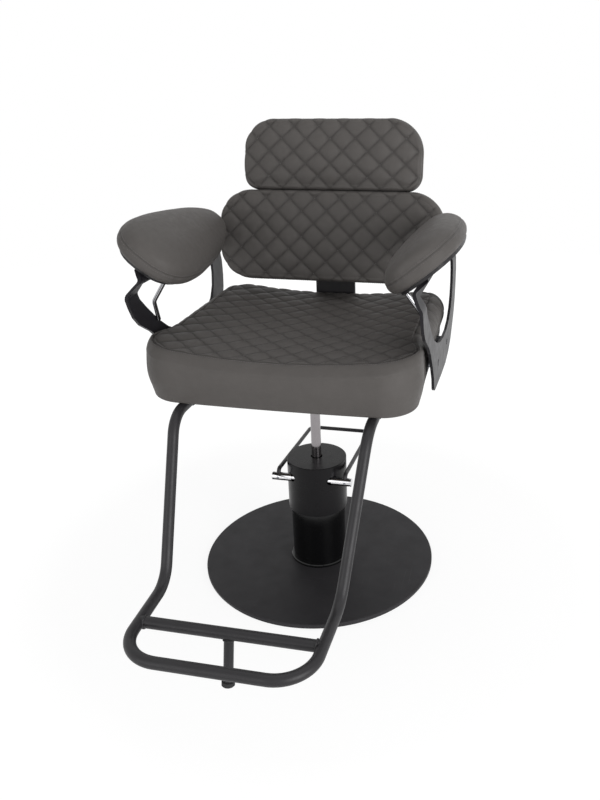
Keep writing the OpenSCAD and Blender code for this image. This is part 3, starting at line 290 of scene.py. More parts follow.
def mesh_object(name, verts, faces, mat, painted_crease_shade=None, smooth=True):
    """An object from points in mm, with the shade painted into its creases as an attribute."""
    me = bpy.data.meshes.new(name)
    me.from_pydata([tuple(v) for v in np.asarray(verts) * MM], [], [tuple(f) for f in faces])
    me.validate()
    if painted_crease_shade is not None:
        a = me.attributes.new("painted_crease_shade", "FLOAT", "POINT")
        a.data.foreach_set("value", np.asarray(painted_crease_shade, dtype=np.float32))
    if smooth:
        me.polygons.foreach_set("use_smooth", [True] * len(me.polygons))
    me.materials.append(mat)
    o = bpy.data.objects.new(name, me)
    scene.collection.objects.link(o)
    return o


def placed(matrix, pts):
    """Points in a matrix's own frame, taken to the model's frame."""
    m = np.array(matrix)
    return np.asarray(pts) @ m[:3, :3].T + m[:3, 3]


def turned_by(matrix, directions):
    return directions @ np.array(matrix)[:3, :3].T


def ripple(p, scale, seed=0.0):
    """A smooth, repeatable wave field between -1 and 1 at points p in mm."""
    q = np.asarray(p) / scale
    x, y, z = q[..., 0], q[..., 1], q[..., 2]
    s = seed
    return (np.sin(1.7 * x + 0.9 * y + 1.1 * z + s) * np.cos(1.3 * y - 0.7 * x + 0.4 * z + 2.1 * s)
            + 0.6 * np.sin(2.9 * y - 1.6 * z + 1.9 * s) * np.cos(2.3 * x + 1.2 * z - s)) / 1.6


def smoothstep(x):
    x = np.clip(x, 0, 1)
    return x * x * (3 - 2 * x)


def bell(x, centre, width):
    return np.exp(-((x - centre) / width) ** 2)


def smooth_profile(points, steps=4):
    """A Catmull-Rom run through the rows of a side profile."""
    p = np.array(points, float)
    out = []
    for i in range(len(p) - 1):
        a, b, c, d = p[max(i - 1, 0)], p[i], p[i + 1], p[min(i + 2, len(p) - 1)]
        for k in range(steps):
            t = k / steps
            out.append(0.5 * (2 * b + (c - a) * t + (2 * a - 5 * b + 4 * c - d) * t * t
                              + (3 * b - a - 3 * c + d) * t ** 3))
    out.append(p[-1])
    return out


def true_runs(flags, least=3):
    """Start and end of each run of more than least true flags."""
    cuts = [0] + [i for i in range(1, len(flags)) if flags[i] != flags[i - 1]] + [len(flags)]
    return [(a, b) for a, b in zip(cuts[:-1], cuts[1:]) if flags[a] and b - a > least]


# Sewn cushions

def on_plan(u, v, half, corners):
    """A point of the square -1 to 1 on a plan with round corners, which may differ in
    radius at the back (v above 0) and at the front."""
    def zone(x, half, corner):
        return np.maximum(0.0, (np.abs(x) - half + corner) / corner)

    corner = np.where(v > 0, corners[0], corners[1])
    x, y = u * half[0], v * half[1]
    p, q = zone(x, half[0], corner), zone(y, half[1], corner)
    both = (p > 0) & (q > 0)
    xx = np.sign(x) * (half[0] - corner + corner * p * np.sqrt(1 - q * q / 2))
    yy = np.sign(y) * (half[1] - corner + corner * q * np.sqrt(1 - p * p / 2))
    return np.where(both, xx, x), np.where(both, yy, y)


def valley(puff, reach=1.55, power=1.1):
    """Shade painted into the quilting's valleys."""
    return np.clip(1 - puff * reach, 0, 1) ** power


class Row(NamedTuple):
    """One ring of a cushion's side, in mm."""
    across: float  # inset from the plan's left and right
    along: float  # inset from its front and back
    share: float  # share of the top's height
    rise: float  # height over that
    dark_wrapped: float = 0  # depth of the crease where the panel wraps over the edge, and the shade painted into it
    dark_plain: float = 0  # the shade painted into the crease where it doesn't
    back: float = 0  # share of the front's setback
    show: float = 0  # how much of the quilting still shows
    turned: float = 1  # how far the surface has turned to the side, as a sine


class Cushion:
    """A boxed cushion with a quilted panel on top, built in its own frame in mm and then
    placed. half and corners are its half sizes and its corner radii at the back and in
    front, top gives the height of a plan point, and profile holds the rows of its side.
    cross is a crossing of two sewn lines, diamond a diamond's size and tuft its depth.
    border lies between the panel and the plan, across and along. The top rises by crown in
    the middle. The plan widens by flare in front, where it bows out by bow, and the panel
    is set back there by setback. wraps gives 1 where the panel runs over the edge, and
    sinks gives 1 where the edge drops lower, by the share called shoulder."""

    wander, wander_scale = 1.3, 70  # how far the sewn lines stray, and over what length
    puff_power, crown_power = 0.42, 2.4
    swell = 0.6  # how far a diamond's middle stands over the panel
    crease_depth = 0.9
    even_from, even_run = -200, 80  # where the border starts to be even, towards the front

    def __init__(self, half, corners, top, profile, cross, *, place, border, crown=0.0,
                 flare=0.0, bow=0.0, setback=0.0, diamond=(60.0, 57.0), tuft=5.8, cells=2.0,
                 recess=0.0, wraps=None, shoulder=0.0, sinks=None):
        self.half, self.corners, self.top, self.crown = half, corners, top, crown
        self.flare, self.bow, self.border, self.tuft = flare, bow, border, tuft
        self.cross, self.diamond, self.setback = cross, diamond, setback
        self.n = [int(2 * (half[i] - border[i]) / cells) for i in (0, 1)]
        self.profile, self.recess, self.place = profile, recess, place
        self.wraps = wraps or (lambda x, y: np.ones(np.shape(x)))
        self.shoulder, self.sinks = shoulder, sinks or (lambda y: 0 * y)

    def plan(self, u, v, across, along, back=1.0):
        """Plan points of the square -1 to 1, drawn in by across and along; back is the
        share of the setback."""
        h = [self.half[0] - across, self.half[1] - along]
        c = [max(k - min(across, along), 1.0) for k in self.corners]
        x, y = on_plan(u, v, h, c)
        front = (1 - y / self.half[1]) / 2
        wide = x * (1 + self.flare / self.half[0] * front ** 4)
        # In front the inset across becomes the inset along
        even = 1 - smoothstep((y - self.even_from) / self.even_run)
        wide = wide * (1 + (across - along) / (self.half[0] - across) * even)
        bowed = self.bow * (1 - (x / self.half[0]) ** 2) * front ** 2
        return wide, y + self.setback * back * front - bowed

    def stray(self, x, y):
        """How far the sewn lines stray from straight at a point."""
        p = np.stack([x, y, 0 * x], -1)
        return (self.wander * ripple(p, self.wander_scale, self.cross[0]),
                self.wander * ripple(p, self.wander_scale, self.cross[1] + 2))

    def puff(self, x, y):
        """How far a point has risen from the sewn lines, 0 to 1."""
        dx, dy = self.stray(x, y)
        a = (x + dx - self.cross[0]) / self.diamond[0]
        b = (y + dy - self.cross[1]) / self.diamond[1]
        k = np.abs(np.sin(np.pi * (a - b))) * np.abs(np.sin(np.pi * (a + b)))
        return np.clip(k, 0, 1) ** self.puff_power

    def raised(self, x, y, edge, show):
        """Height of the quilting over the top; edge goes from 0 in the middle to 1."""
        k = self.puff(x, y)
        rise = self.crown * (1 - edge ** self.crown_power)
        return rise - self.tuft * (1 - k) * show + self.swell * k * show, k

    def grid(self):
        nx, ny = self.n
        return np.meshgrid(np.linspace(-1, 1, nx + 1), np.linspace(-1, 1, ny + 1))

    def panel(self):
        u, v = self.grid()
        x, y = self.plan(u, v, *self.border)
        rise, k = self.raised(x, y, np.maximum(np.abs(u), np.abs(v)), 1.0)
        return np.stack([x, y, self.top(x, y) + rise], -1), k

    def ring(self, row, edge):
        """A row's points round the cushion, for the panel's edge on the square -1 to 1."""
        x, y = self.plan(edge[:, 0], edge[:, 1], row.across, row.along, row.back)
        wrap = self.wraps(x, y)
        z = self.top(x, y) * row.share + row.rise * (1 + self.shoulder * self.sinks(y))
        show = row.show * (wrap if row.turned else 1.0)
        up = self.raised(x, y, 1.0, show)[0] if row.show else 0.0
        if row.turned:
            # The quilting and the crease are pushed in square to the surface
            near = self.plan(edge[:, 0], edge[:, 1], row.across + 1, row.along + 1, row.back)
            push = (up - self.crease_depth * row.dark_wrapped * wrap) * row.turned
            x, y = x + (x - near[0]) * push, y + (y - near[1]) * push
        z = z + up * math.sqrt(1 - row.turned * row.turned)
        return np.stack([x, y, z], -1)

    def darkness(self, row, p):
        """The shade painted into a row's points, in its creases and the quilting's valleys."""
        wrap = self.wraps(p[:, 0], p[:, 1])
        k = valley(self.puff(p[:, 0], p[:, 1])) * row.show
        if row.turned:
            # The seam crosses the rounded edge where the wrapping begins, and shade is painted
            # along it there
            crossing = 0.9 * bell(wrap, 0.5, 0.22) * (row.share == 1)
            k = np.maximum(k * wrap, crossing)
        return np.maximum(k, row.dark_wrapped * wrap + row.dark_plain * (1 - wrap))

    def edge_uv(self):
        """The panel's edge, once round, on the square -1 to 1 and as places in the grid."""
        nx, ny = self.n
        e = ([(i, 0) for i in range(nx)] + [(nx, j) for j in range(ny)]
             + [(i, ny) for i in range(nx, 0, -1)] + [(0, j) for j in range(ny, 0, -1)])
        e = np.array(e, float)
        return np.stack([2 * e[:, 0] / nx - 1, 2 * e[:, 1] / ny - 1], -1), e

    def build(self, name, mat, wrinkle):
        """The cushion's mesh: the panel's grid, its side's rows and a point below."""
        nx, ny = self.n
        pts, puff = self.panel()
        uv, e = self.edge_uv()
        rim = (e[:, 1] * (nx + 1) + e[:, 0]).astype(int)
        rows = [self.ring(row, uv) for row in self.profile]
        under = np.array([[0, 0, self.recess]])
        dark = [self.darkness(row, p) for row, p in zip(self.profile, rows)]
        # Shade painted into the creases and the quilting's valleys, kept as an attribute
        painted_crease_shade = np.concatenate([valley(puff.reshape(-1))] + dark + [[0.0]])
        first, count = (nx + 1) * (ny + 1), len(uv)
        verts = wrinkle(np.concatenate([pts.reshape(-1, 3)] + rows + [under]), first)
        faces = [(a, a + 1, a + nx + 2, a + nx + 1)
                 for j in range(ny) for a in range(j * (nx + 1), j * (nx + 1) + nx)]
        rings = [rim] + [first + r * count + np.arange(count) for r in range(len(rows))]
        for up, low in zip(rings[:-1], rings[1:]):
            for i in range(count):
                j = (i + 1) % count
                faces.append((up[i], low[i], low[j], up[j]))
        last, low = len(verts) - 1, rings[-1]
        faces += [(low[(i + 1) % count], low[i], last) for i in range(count)]
        return mesh_object(name, placed(self.place, verts), faces, mat, painted_crease_shade)

    def sewn_runs(self, step=3.0, clear=3):
        """Points on the panel along the lines between diamonds, in mm."""
        (w, h), (bx, by), nx = self.diamond, self.border, self.n[0]
        lines = 24  # enough to cover the panel from end to end
        half_x, half_y = self.half[0] - bx, self.half[1] - by
        xs = np.arange(-self.half[0], self.half[0], step)
        _, py = self.plan(*self.grid(), bx, by)
        lo, hi = py.min(axis=0), py.max(axis=0)
        column = np.clip(np.round(nx * (xs / half_x + 1) / 2), 0, nx).astype(int)
        out = []
        for way in (1, -1):
            for c in range(-lines, lines + 1):
                ys = self.cross[1] + h * (c - (xs - self.cross[0]) / w) * way
                inside = np.abs(xs) < half_x - 2
                inside &= (ys > lo[column] + clear) & (ys < hi[column] - clear)
                corner = np.where(ys > 0, self.corners[0], self.corners[1]) - min(bx, by)
                dx = np.maximum(0, np.abs(xs) - (half_x - corner))
                dy = np.maximum(0, np.abs(ys) - (half_y - corner))
                inside &= dx * dx + dy * dy < (corner - clear) ** 2
                line = np.stack([xs, ys], -1)
                out += [line[a:b] for a, b in true_runs(inside)]
        return out

    def lay(self, xy):
        """Points of the panel's own surface over plan points."""
        x, y = xy[:, 0], xy[:, 1]
        edge = np.maximum(np.abs(x) / (self.half[0] - self.border[0]),
                          np.abs(y) / (self.half[1] - self.border[1]))
        rise, _ = self.raised(x, y, np.clip(edge, 0, 1), 1.0)
        return np.stack([x, y, self.top(x, y) + rise], -1)


def stitches(name, runs, mat, pitch=4.8, length=3.5, radius=0.5, ring=5):
    """Short thread lengths along runs of points; each run is (points, lift direction)."""
    # Along the thread, its thickness and its height, as shares of length and radius
    stations = ((-0.5, 0.35, -0.25), (-0.3, 1.0, 0.35), (0.3, 1.0, 0.35), (0.5, 0.35, -0.25))
    shortest = 0.5
    verts, faces = [], []
    for pts, lift in runs:
        way = np.concatenate([[0], np.cumsum(np.linalg.norm(np.diff(pts, axis=0), axis=1))])

        def at(place, values):
            return np.array([np.interp(place, way, values[:, k]) for k in range(3)])

        count = int(way[-1] // pitch)
        for i in range(count):
            place = (i + 0.5) * way[-1] / count
            start, end = (at(place + s * length / 2, pts) for s in (-1, 1))
            d = end - start
            size = np.linalg.norm(d)
            if size < shortest:
                continue
            d /= size
            up = at(place, lift)
            up = up - d * up.dot(d)
            up /= np.linalg.norm(up)
            side = np.cross(d, up)
            mid = (start + end) / 2
            base = len(verts)
            for along, thick, high in stations:
                c = mid + d * along * length + up * high * radius
                for q in range(ring):
                    a = 2 * math.pi * q / ring
                    verts.append(c + (side * math.cos(a) + up * math.sin(a)) * radius * thick)
            for r in range(len(stations) - 1):
                for q in range(ring):
                    a, b = base + r * ring + q, base + r * ring + (q + 1) % ring
                    faces.append((a, b, b + ring, a + ring))
            faces.append(tuple(base + q for q in reversed(range(ring))))
            top = base + (len(stations) - 1) * ring
            faces.append(tuple(top + q for q in range(ring)))
    o = mesh_object(name, np.array(verts), faces, mat)
    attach(o, "seat")


def quilt_stitches(name, cushion, mat, rows, wrinkle):
    """Thread in the quilting's valleys and along the seams. Each row says how far its
    thread lies to the side, and whether it belongs where the panel wraps."""
    place, z_up = cushion.place, np.array([0.0, 0.0, 1.0])
    runs = []
    for xy in cushion.sewn_runs():
        # The thread lies in the real valley, which wanders a little
        q = cushion.lay(xy - np.stack(cushion.stray(xy[:, 0], xy[:, 1]), -1))
        q = wrinkle(q, len(q))
        runs.append((placed(place, q), turned_by(place, np.tile(z_up, (len(q), 1)))))
    uv, _ = cushion.edge_uv()
    for row, out, wrapped in rows:
        p = cushion.ring(row, uv)
        p = wrinkle(np.concatenate([p, p[:1]]), 0)
        keep = (cushion.wraps(p[:, 0], p[:, 1]) > 0.5) == wrapped
        d = np.roll(p, -1, axis=0) - np.roll(p, 1, axis=0)
        d[0], d[-1] = p[1] - p[-2], p[1] - p[-2]
        d[:, 2] = 0
        d /= np.linalg.norm(d, axis=1)[:, None] + 1e-9
        side = np.stack([d[:, 1], -d[:, 0], np.zeros(len(d))], -1)
        lift = side * out + z_up * (1 - out)
        for a, b in true_runs(keep):
            runs.append((placed(place, p[a:b]), turned_by(place, lift[a:b])))
    stitches(name, runs, mat)


# Places and sizes that the solids have, in mm and degrees
cushion_level = 540.6
seat_w, seat_d, seat_forward = 556.0, 530.0, 40.0
seat_high, seat_dish, seat_slope = 98, 22, 8
seat_edge, seat_under = 27, 14.0  # the hollow under the seat: how far in, and how deep
bar_behind, bend_level, lean, bar_steel = 237.0, 761.6, 10.8, 4
lower_mid, upper_mid = 20.5, 210.0
lower_half, upper_half = (276, 106.5), (216, 81.5)
lower_thick, upper_thick = 60.0, 50.0
board = 12.0
seat_border, pad_border = (30.0, 13.0), (12.0, 12.0)


# Profiles of the cushions

def rounded_rim(border, drop, out, dark, depth=0.0, back=0.0, steps=12):
    """From the panel's edge a quarter round down to the side. It is drop high, and ends
    out beyond the plan. The seam lies before the rounding, depth deep, or after it where
    the panel wraps over the edge."""
    # Inset, share of the depth and of the painted shade
    before = ((0.7, 0.6, 0.8), (1.4, 1.0, 1.0), (2.4, 0.9, 1.0), (3.2, 0.4, 0.1))
    # Distance below and share of the crease's depth and painted shade
    after = ((0.8, 0.5), (1.6, 1.0), (2.6, 1.0), (3.6, 0.2))
    rows = [Row(border[0] - inset, border[1] - inset, 1, -low * depth,
                dark_plain=line * dark, back=back, show=0.9, turned=0)
            for inset, low, line in before]
    used = before[-1][0]
    start = -0.3 * depth
    for k in range(1, steps + 1):
        a = math.radians(90 / steps * k)
        ins = [(b - used) * (1 - math.sin(a)) - out * math.sin(a) for b in border]
        rows.append(Row(*ins, 1, start - drop * (1 - math.cos(a)), back=back * math.cos(a),
                        show=1 - 0.75 * math.sin(a), turned=min(0.999, math.sin(a))))
    rows += [Row(-out, -out, 1, start - drop - low, dark_wrapped=line * dark)
             for low, line in after]
    return rows


def side_rows(bulge, draw, start):
    """The side below a row: it bulges, and then draws in towards its foot."""
    def inset(bulged, drawn, more=0.0):
        return [drawn * d - bulged * b + more for b, d in zip(bulge, draw)]

    rows = smooth_profile([
        start[:4], (*inset(0.8, 0), 0.60, -2), (*inset(1, 0), 0.42, 0), (*inset(0, 0.5), 0.2, 4),
        (*inset(0, 1), 0, 11), (*inset(0, 1, 1.2), 0, 5), (*inset(0, 1, 4.2), 0, 1.6),
        (*inset(0, 1, 9.0), 0, 0.2)])
    return [Row(*r) for r in rows[1:]]


def seat_profile():
    rows = rounded_rim(seat_border, drop=20.0, out=-2.0, dark=1.0, depth=1.6, back=1.0)
    rows += side_rows((-2.4, 0.6), (3.5, 6.5), rows[-1])
    return rows + [Row(seat_edge, seat_edge, 0, z) for z in (0, seat_under)]


def pad_profile():
    rows = rounded_rim(pad_border, drop=15.0, out=0.5, dark=0.8)
    return rows + side_rows((2, 0), (0, 0), rows[-1])


def seat_top(x, y):
    return seat_high + seat_dish * (x / (seat_w / 2)) ** 2 + seat_slope * (y / seat_d + 0.5)


def seat_wraps(x, y):
    """The quilted panel runs over the sides and the back, and stops at a seam in front."""
    return smoothstep((y + 150) / 14)


def seat_sinks(y):
    """From the front corners backwards the edge becomes a broad, low shoulder."""
    return smoothstep((y + 190) / 120)


def outward(v, half):
    """Directions out of a cushion, level with its foot."""
    out = np.stack([v[:, 0] / half[0], v[:, 1] / half[1], np.zeros(len(v))], -1)
    return out / (np.linalg.norm(out, axis=1)[:, None] + 1e-9)


def seat_wrinkles(verts, first):
    """Folds in a leather seat; the points from first on are its side's."""
    v = verts.copy()
    x, y, z = v[:, 0], v[:, 1], v[:, 2]
    side = (np.arange(len(v)) >= first).astype(float)
    depth = np.clip((seat_top(x, y) - z) / 90.0, 0, 1)
    # Soft puckers below the seam at the corners and along the sides
    corner = bell(np.abs(x), 262, 60) * (0.3 + bell(y, 150, 90) + 0.5 * bell(y, -235, 50))
    around = np.degrees(np.arctan2(y, x))
    folds = np.sin(around * 0.9 + z / 30) * bell(depth, 0.32, 0.3)
    out = outward(v, (seat_w / 2, seat_d / 2))
    v += out * (side * corner * folds * 0.45)[:, None]
    v += out * (side * ripple(v, 80, 1.3) * 0.5 * np.sin(np.pi * depth))[:, None]
    # The sides swell between the arms' feet and the back
    swell = side * 9 * smoothstep((y + 120) / 160) * np.sin(np.pi * np.clip(depth * 1.1, 0, 1))
    v[:, 0] += np.sign(x) * swell * smoothstep((np.abs(x) - 200) / 60)
    # The filling is a little uneven under the panel
    v[:, 2] += (1 - side) * ripple(v * np.array([1, 1, 0]), 44, 4.2) * 0.8
    return v


def pad_wrinkles(seed, pad_shape=(276, 106)):
    """Slight folds at the ends of a back pad, and an uneven filling."""
    def run(verts, first):
        v = verts.copy()
        side = (np.arange(len(v)) >= first).astype(float)
        ends = (v[:, 2] > 8) * (np.abs(v[:, 0]) > np.abs(v[:, 1]) * 1.6)
        v += outward(v, pad_shape) * (side * ends * ripple(v, 30, seed) * 0.4)[:, None]
        v[:, 2] += (1 - side) * ripple(v * np.array([1, 1, 0]), 36, seed + 2) * 0.6
        return v
    return run


def back_place(along):
    """The frame of a back pad, along the bar above its bend."""
    lean_back = Matrix.Rotation(math.radians(90 - lean), 4, "X")
    return (Matrix.Translation((0, bar_behind, bend_level)) @ lean_back
            @ Matrix.Translation((0, along, bar_steel + board)))


seat = Cushion(
    (seat_w / 2, seat_d / 2), (60.0, 80.0), seat_top, seat_profile(), (-9, -218),
    place=Matrix.Translation((0, -seat_forward, cushion_level)), flare=15, bow=8, setback=12,
    border=seat_border, tuft=3.7, cells=2.3, recess=seat_under, wraps=seat_wraps,
    shoulder=0.9, sinks=seat_sinks)
lower = Cushion(
    lower_half, (80.0, 80.0), lambda x, y: lower_thick + 0 * x, pad_profile(), (-4.2, -1.2),
    place=back_place(lower_mid), crown=9.0, border=pad_border, diamond=(61.0, 59.0))
upper = Cushion(
    upper_half, (76.0, 36.0), lambda x, y: upper_thick + 0 * x, pad_profile(), (-0.4, 34.7),
    place=back_place(upper_mid), crown=9.0, border=pad_border)

# The threads of the seams: where they run, how far they lie to the side, and whether
# they belong where the panel wraps
seat_seams = (
    (Row(32.6, 15.6, 1, 0.3, back=1, show=1, turned=0), 0.0, False),
    (Row(19.7, 7.2, 1, -1.3, back=0.95, turned=0), 0.25, False),
    (Row(2.4, 2.0, 1, -25.2), 1.0, True))
pad_seams = ((Row(-0.4, -0.4, 1, -21.0), 1.0, True),)
for name, cushion, node, wrinkle, rows in (
        ("seat_pad", seat, "seat_cushion", seat_wrinkles, seat_seams),
        ("back_pad_lower", lower, "back_cushion_lower", pad_wrinkles(0.7), pad_seams),
        ("back_pad_upper", upper, "back_cushion_upper", pad_wrinkles(2.9), pad_seams)):
    o = cushion.build(name, mats["upholstery"], wrinkle)
    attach(o, "seat")
    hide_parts(node)
    quilt_stitches(name + "_stitching", cushion, mats["thread"], rows, wrinkle)


# Arm pads: the solids' places and sizes, in mm and degrees, then their look
arm_plane, arm_steel, toe_in, pad_roll = 296.0, 6.0, 1.5, 39.0
arm_foot, arm_height = 524.6, 281
pad_len, pad_wid, pad_thick, pad_crown, pad_base = 404.0, 164.0, 46.0, 27.0, 6
pad_place = (-17.5, -58.0, arm_foot + arm_height + 12.5)
plan_power, plan_taper = 2 / 2.65, 0.25
dome_power, end_power = 2.15, 2.1
seam_level, seam_gap = 9.0, 3.8


def arm_matrix(side):
    """The frame of an arm: side is 1 on the right and -1, mirrored, on the left."""
    m = Matrix.Translation((arm_plane, 0, 0)) @ Matrix.Rotation(math.radians(-toe_in), 4, "Z")
    if side < 0:
        m = Matrix.Scale(-1, 4, (1, 0, 0)) @ m
    return m


def pad_matrix(side):
    roll = Matrix.Rotation(math.radians(-pad_roll), 4, "Y")
    return arm_matrix(side) @ Matrix.Translation(pad_place) @ roll


def outline(a, half):
    """A superellipse that narrows towards the back."""
    def power(x):
        return np.sign(x) * np.abs(x) ** plan_power
    y = half[1] * power(np.cos(a))
    return half[0] * power(np.sin(a)) * (1 - plan_taper * y / half[1]), y


def arm_pad(side, steps=176):
    """A domed pad with a seam round its side, and the seam's two rows of thread."""
    a = -2 * np.pi * np.arange(steps) / steps
    peak, foot = pad_thick / 2 + pad_crown, pad_base - pad_thick / 2
    half = np.array([pad_wid / 2, pad_len / 2])

    def dome_ring(a, z, ins):
        """The dome's outline at a height, drawn in by ins."""
        s = (1 - (z / peak) ** dome_power) ** (1 / dome_power)
        x, y = outline(a, (half[0] * s - ins, half[1] * (1 - (1 - s) ** end_power) - ins))
        return np.stack([x, y, np.full(len(a), z)], -1)

    # Height, inset and painted shade of each ring: the dome, the seam, and the rounded foot
    levels = [peak * math.cos(math.radians(d)) ** 0.93 for d in np.linspace(6, 80, 26)]
    seam = ((1.8, -0.1, 0.0), (0.7, 0.3, 0.35), (0, 0.7, 0.7), (-0.7, 0.3, 0.35), (-1.8, -0.1, 0.0))
    upper_rings = [(z, 0, 0) for z in levels if z > seam_level + 3]
    upper_rings += [(seam_level + up, ins, dark) for up, ins, dark in seam]
    upper_rings += [(4, -0.3, 0), (2, -0.3, 0)]
    lower_rings = smooth_profile([(-0.3, 2), (0.2, -4), (2.2, foot + 7.5), (5.6, foot + 3.2),
                                  (10.0, foot + 0.8), (14, foot)])[1:] + [(18, foot)]
    rings = [dome_ring(a, z, ins) for z, ins, _ in upper_rings]
    for ins, z in lower_rings:
        x, y = outline(a, half - ins)
        rings.append(np.stack([x, y, np.full(steps, z)], -1))
    p = np.concatenate([[[0, 0, peak]]] + rings + [[[0, 0, foot]]])
    # The seam's rings carry shade painted into the pad's colour
    dark = np.zeros(len(p))
    for r, (_, _, g) in enumerate(upper_rings):
        dark[1 + r * steps:1 + (r + 1) * steps] = g

    # Gathers that run in from the seam, and a gentle unevenness of the filling
    ang = np.arctan2(p[:, 0] / half[0], p[:, 1] / half[1])
    near = np.exp(-np.abs(p[:, 2] - seam_level) / 9.0)
    near = near * (0.7 + 1.3 * smoothstep(-p[:, 1] / half[1] * 2 - 0.7))
    free = (p[:, 2] > foot + 1)
    gathers = near * np.sin(ang * 34 + 2 * np.sin(ang * 5)) * 0.26
    away = p[:, :2] / (np.linalg.norm(p[:, :2], axis=1)[:, None] + 1e-6)
    p[:, :2] += away * (free * (gathers + ripple(p, 34, 1.0 + side) * 0.5))[:, None]
    p[:, 2] += (p[:, 2] > seam_level) * ripple(p, 42, 5.0 + side) * 0.7

    faces = [(0, 1 + (k + 1) % steps, 1 + k) for k in range(steps)]
    for r in range(len(rings) - 1):
        b = 1 + r * steps
        for k in range(steps):
            q = (k + 1) % steps
            faces.append((b + k, b + q, b + steps + q, b + steps + k))
    last, b = len(p) - 1, 1 + (len(rings) - 1) * steps
    faces += [(b + k, b + (k + 1) % steps, last) for k in range(steps)]
    if side < 0:
        faces = [tuple(reversed(f)) for f in faces]

    tag = "right" if side > 0 else "left"
    m = pad_matrix(side)
    o = mesh_object("arm_cushion_" + tag, placed(m, p), faces, mats["upholstery"], dark)
    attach(o, "seat")
    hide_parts("arm_pad_" + tag)
    runs = []
    for z in (seam_level + seam_gap, seam_level - seam_gap):
        line = dome_ring(np.append(a, a[:1]), z, -0.1)
        d = line[:, :2] / half
        d /= np.linalg.norm(d, axis=1)[:, None]
        lift = np.stack([d[:, 0], d[:, 1], np.full(len(line), 0.1)], -1)
        runs.append((placed(m, line), turned_by(m, lift)))
    stitches("arm_cushion_" + tag + "_stitching", runs, mats["thread"])


arm_pad(-1)
arm_pad(1)


def flush_heads(keep=0.14):
    """The arms' bolts, with their heads almost flush with the frames."""
    me = frame["nodes"]["arm_bolts"].data.copy()
    face = arm_steel / 2
    for side in (-1, 1):
        m = arm_matrix(side)
        back = m.inverted()
        for v in me.vertices:
            p = back @ (v.co / MM)
            if v.co.x * side > 0 and p.x > face:
                p.x = face + (p.x - face) * keep
                v.co = (m @ p) * MM
    me.materials.clear()
    me.materials.append(mats["arm_grey"])
    o = bpy.data.objects.new("arm_bolts_flush", me)
    scene.collection.objects.link(o)
    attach(o, "seat")
    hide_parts("arm_bolts")


flush_heads()


# Weld beads of the footrest

def weld(name, centre, axis, radius, bead, steps=72, ring=8):
    """A lumpy ring of weld round a tube's end."""
    z = Vector(axis).normalized()
    x = z.orthogonal().normalized()
    y = z.cross(x)
    verts, faces = [], []
    for i in range(steps):
        a = 2 * math.pi * i / steps
        lump = 1 + 0.22 * math.sin(a * 11) + 0.1 * rng.uniform(-1, 1)
        d = x * math.cos(a) + y * math.sin(a)
        c = Vector(centre) + d * radius
        for k in range(ring):
            b = 2 * math.pi * k / ring
            verts.append(c + (d * math.cos(b) + z * math.sin(b)) * bead * lump)
    for i in range(steps):
        for k in range(ring):
            a, b = i * ring + k, i * ring + (k + 1) % ring
            c, d = ((i + 1) % steps) * ring + k, ((i + 1) % steps) * ring + (k + 1) % ring
            faces.append((a, c, d, b))
    o = mesh_object(name, np.array([tuple(v) for v in verts]), faces, mats["satin_black"])
    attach(o, "seat")


# The footrest's legs, in mm: they stand leg_wide from the middle where they start, and
# leg_narrow at their end in front
leg_start, leg_end, leg_wide, leg_narrow = 491, 698, 174, 168
bar_y, bar_z = 93.0 - leg_end, 529.6 - 284.0
under_skin = 10.6  # from a leg's middle to just under its surface
narrowing = (leg_narrow - leg_wide) * (bar_y + leg_start) / (leg_start - leg_end)
reach = leg_wide + narrowing - under_skin
for s, tag in ((-1, "left"), (1, "right")):
    weld("weld_crossbar_" + tag, (s * reach, bar_y, bar_z), (1, 0, 0), 10.8, 2.2)
weld("weld_post", (0, bar_y - 2.6, bar_z - 10.4), (0, -22, -87), 9.0, 2.0)


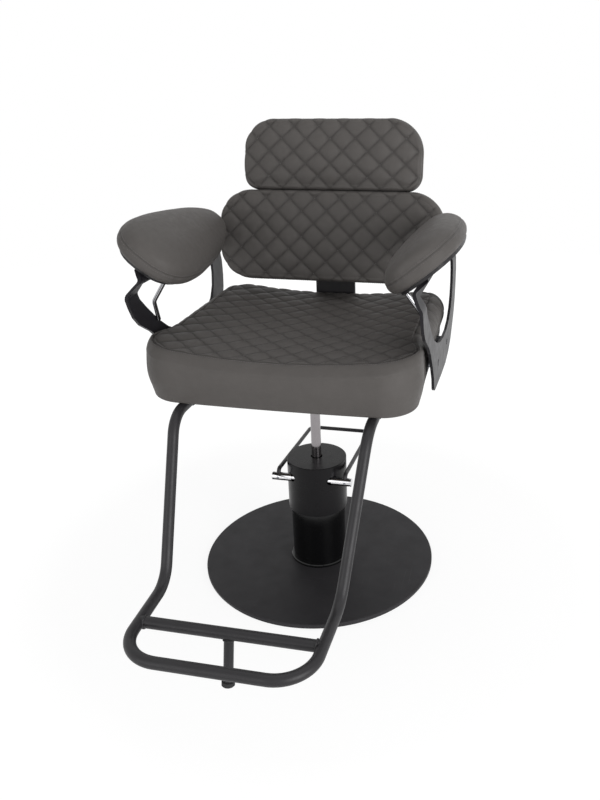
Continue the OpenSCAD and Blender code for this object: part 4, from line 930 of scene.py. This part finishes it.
# A pale floor that keeps the shadow near the object and goes over to white away from it
floor_radius, floor_steps = 4000, 96
fade_length, floor_glow = 4.0, 1.08  # in metres, and as light of its own
floor = Mat("pale_floor")
length = floor.node("ShaderNodeVectorMath", {0: floor.coord}, operation="LENGTH").outputs["Value"]
far = floor.ramp(floor.math("DIVIDE", length, fade_length), [(0.16, 0.80), (0.30, 1.0)])
floor.set(Base_Color=floor.spread(60, 3, 0.90, 0.93), Roughness=0.7)
glow = floor.node("ShaderNodeEmission", {"Color": WHITE, "Strength": floor_glow})
blend = floor.node("ShaderNodeMixShader", {0: floor.math("MULTIPLY", far, showing_rays(floor.t)),
                                           1: floor.p.outputs[0], 2: glow.outputs[0]})
fill_socket(floor.t, floor.out.inputs[0], blend.outputs[0])
turns = [2 * math.pi * k / floor_steps for k in range(floor_steps)]
disc = [(0, 0, 0)] + [(floor_radius * math.cos(t), floor_radius * math.sin(t), 0.0) for t in turns]
slices = [(0, 1 + k, 1 + (k + 1) % floor_steps) for k in range(floor_steps)]
ground = mesh_object("floor", np.array(disc), slices, floor.m, smooth=False)


# Light
world_light = 0.40
world = bpy.data.worlds.new("studio")
scene.world = world
world.use_nodes = True
sky = world.node_tree
sky.nodes.clear()
soft, clear = (
    add_node(sky, "ShaderNodeBackground", {"Color": WHITE, "Strength": strength}).outputs[0]
    for strength in (world_light, 1.0))
pick = add_node(sky, "ShaderNodeMixShader", {0: showing_rays(sky), 1: soft, 2: clear})
add_node(sky, "ShaderNodeOutputWorld", {0: pick.outputs[0]})


def area(name, at, to, size, power):
    d = bpy.data.lights.new(name, "AREA")
    d.shape = "RECTANGLE"
    d.size = d.size_y = size
    d.energy = power
    o = bpy.data.objects.new(name, d)
    o.location = at
    o.rotation_euler = (Vector(to) - Vector(at)).to_track_quat("-Z", "Y").to_euler()
    scene.collection.objects.link(o)


area("key", (3.0, -2.4, 1.2), (0, 0, 0.6), 2.4, 101)
area("fill", (-1.8, -3.2, 1.1), (0, 0, 0.6), 2.4, 29)
area("overhead", (0.2, 0.4, 3.2), (0, 0, 0.5), 2.6, 14)


# The camera, as it was fitted to the photograph: angles in degrees, its place in mm
az, el, roll = (math.radians(v) for v in (12.2713, 23.1308, -0.6887))
camera_place = (449.1, -1581.0, 1134.4)
right = Vector((math.cos(az), math.sin(az), 0))
back = Vector((math.sin(az) * math.cos(el), -math.cos(az) * math.cos(el), math.sin(el)))
up = back.cross(right)
cam = bpy.data.cameras.new("camera")
cam.sensor_width = 36
cam.lens = 33.6156
cam.shift_x = -0.07218
cam.shift_y = 0.00222
cam.clip_end = 50
m = Matrix((right * math.cos(roll) + up * math.sin(roll),
            up * math.cos(roll) - right * math.sin(roll), back)).transposed().to_4x4()
m.translation = Vector(camera_place) * MM
eye = bpy.data.objects.new("camera", cam)
eye.matrix_world = m
scene.collection.objects.link(eye)
scene.camera = eye
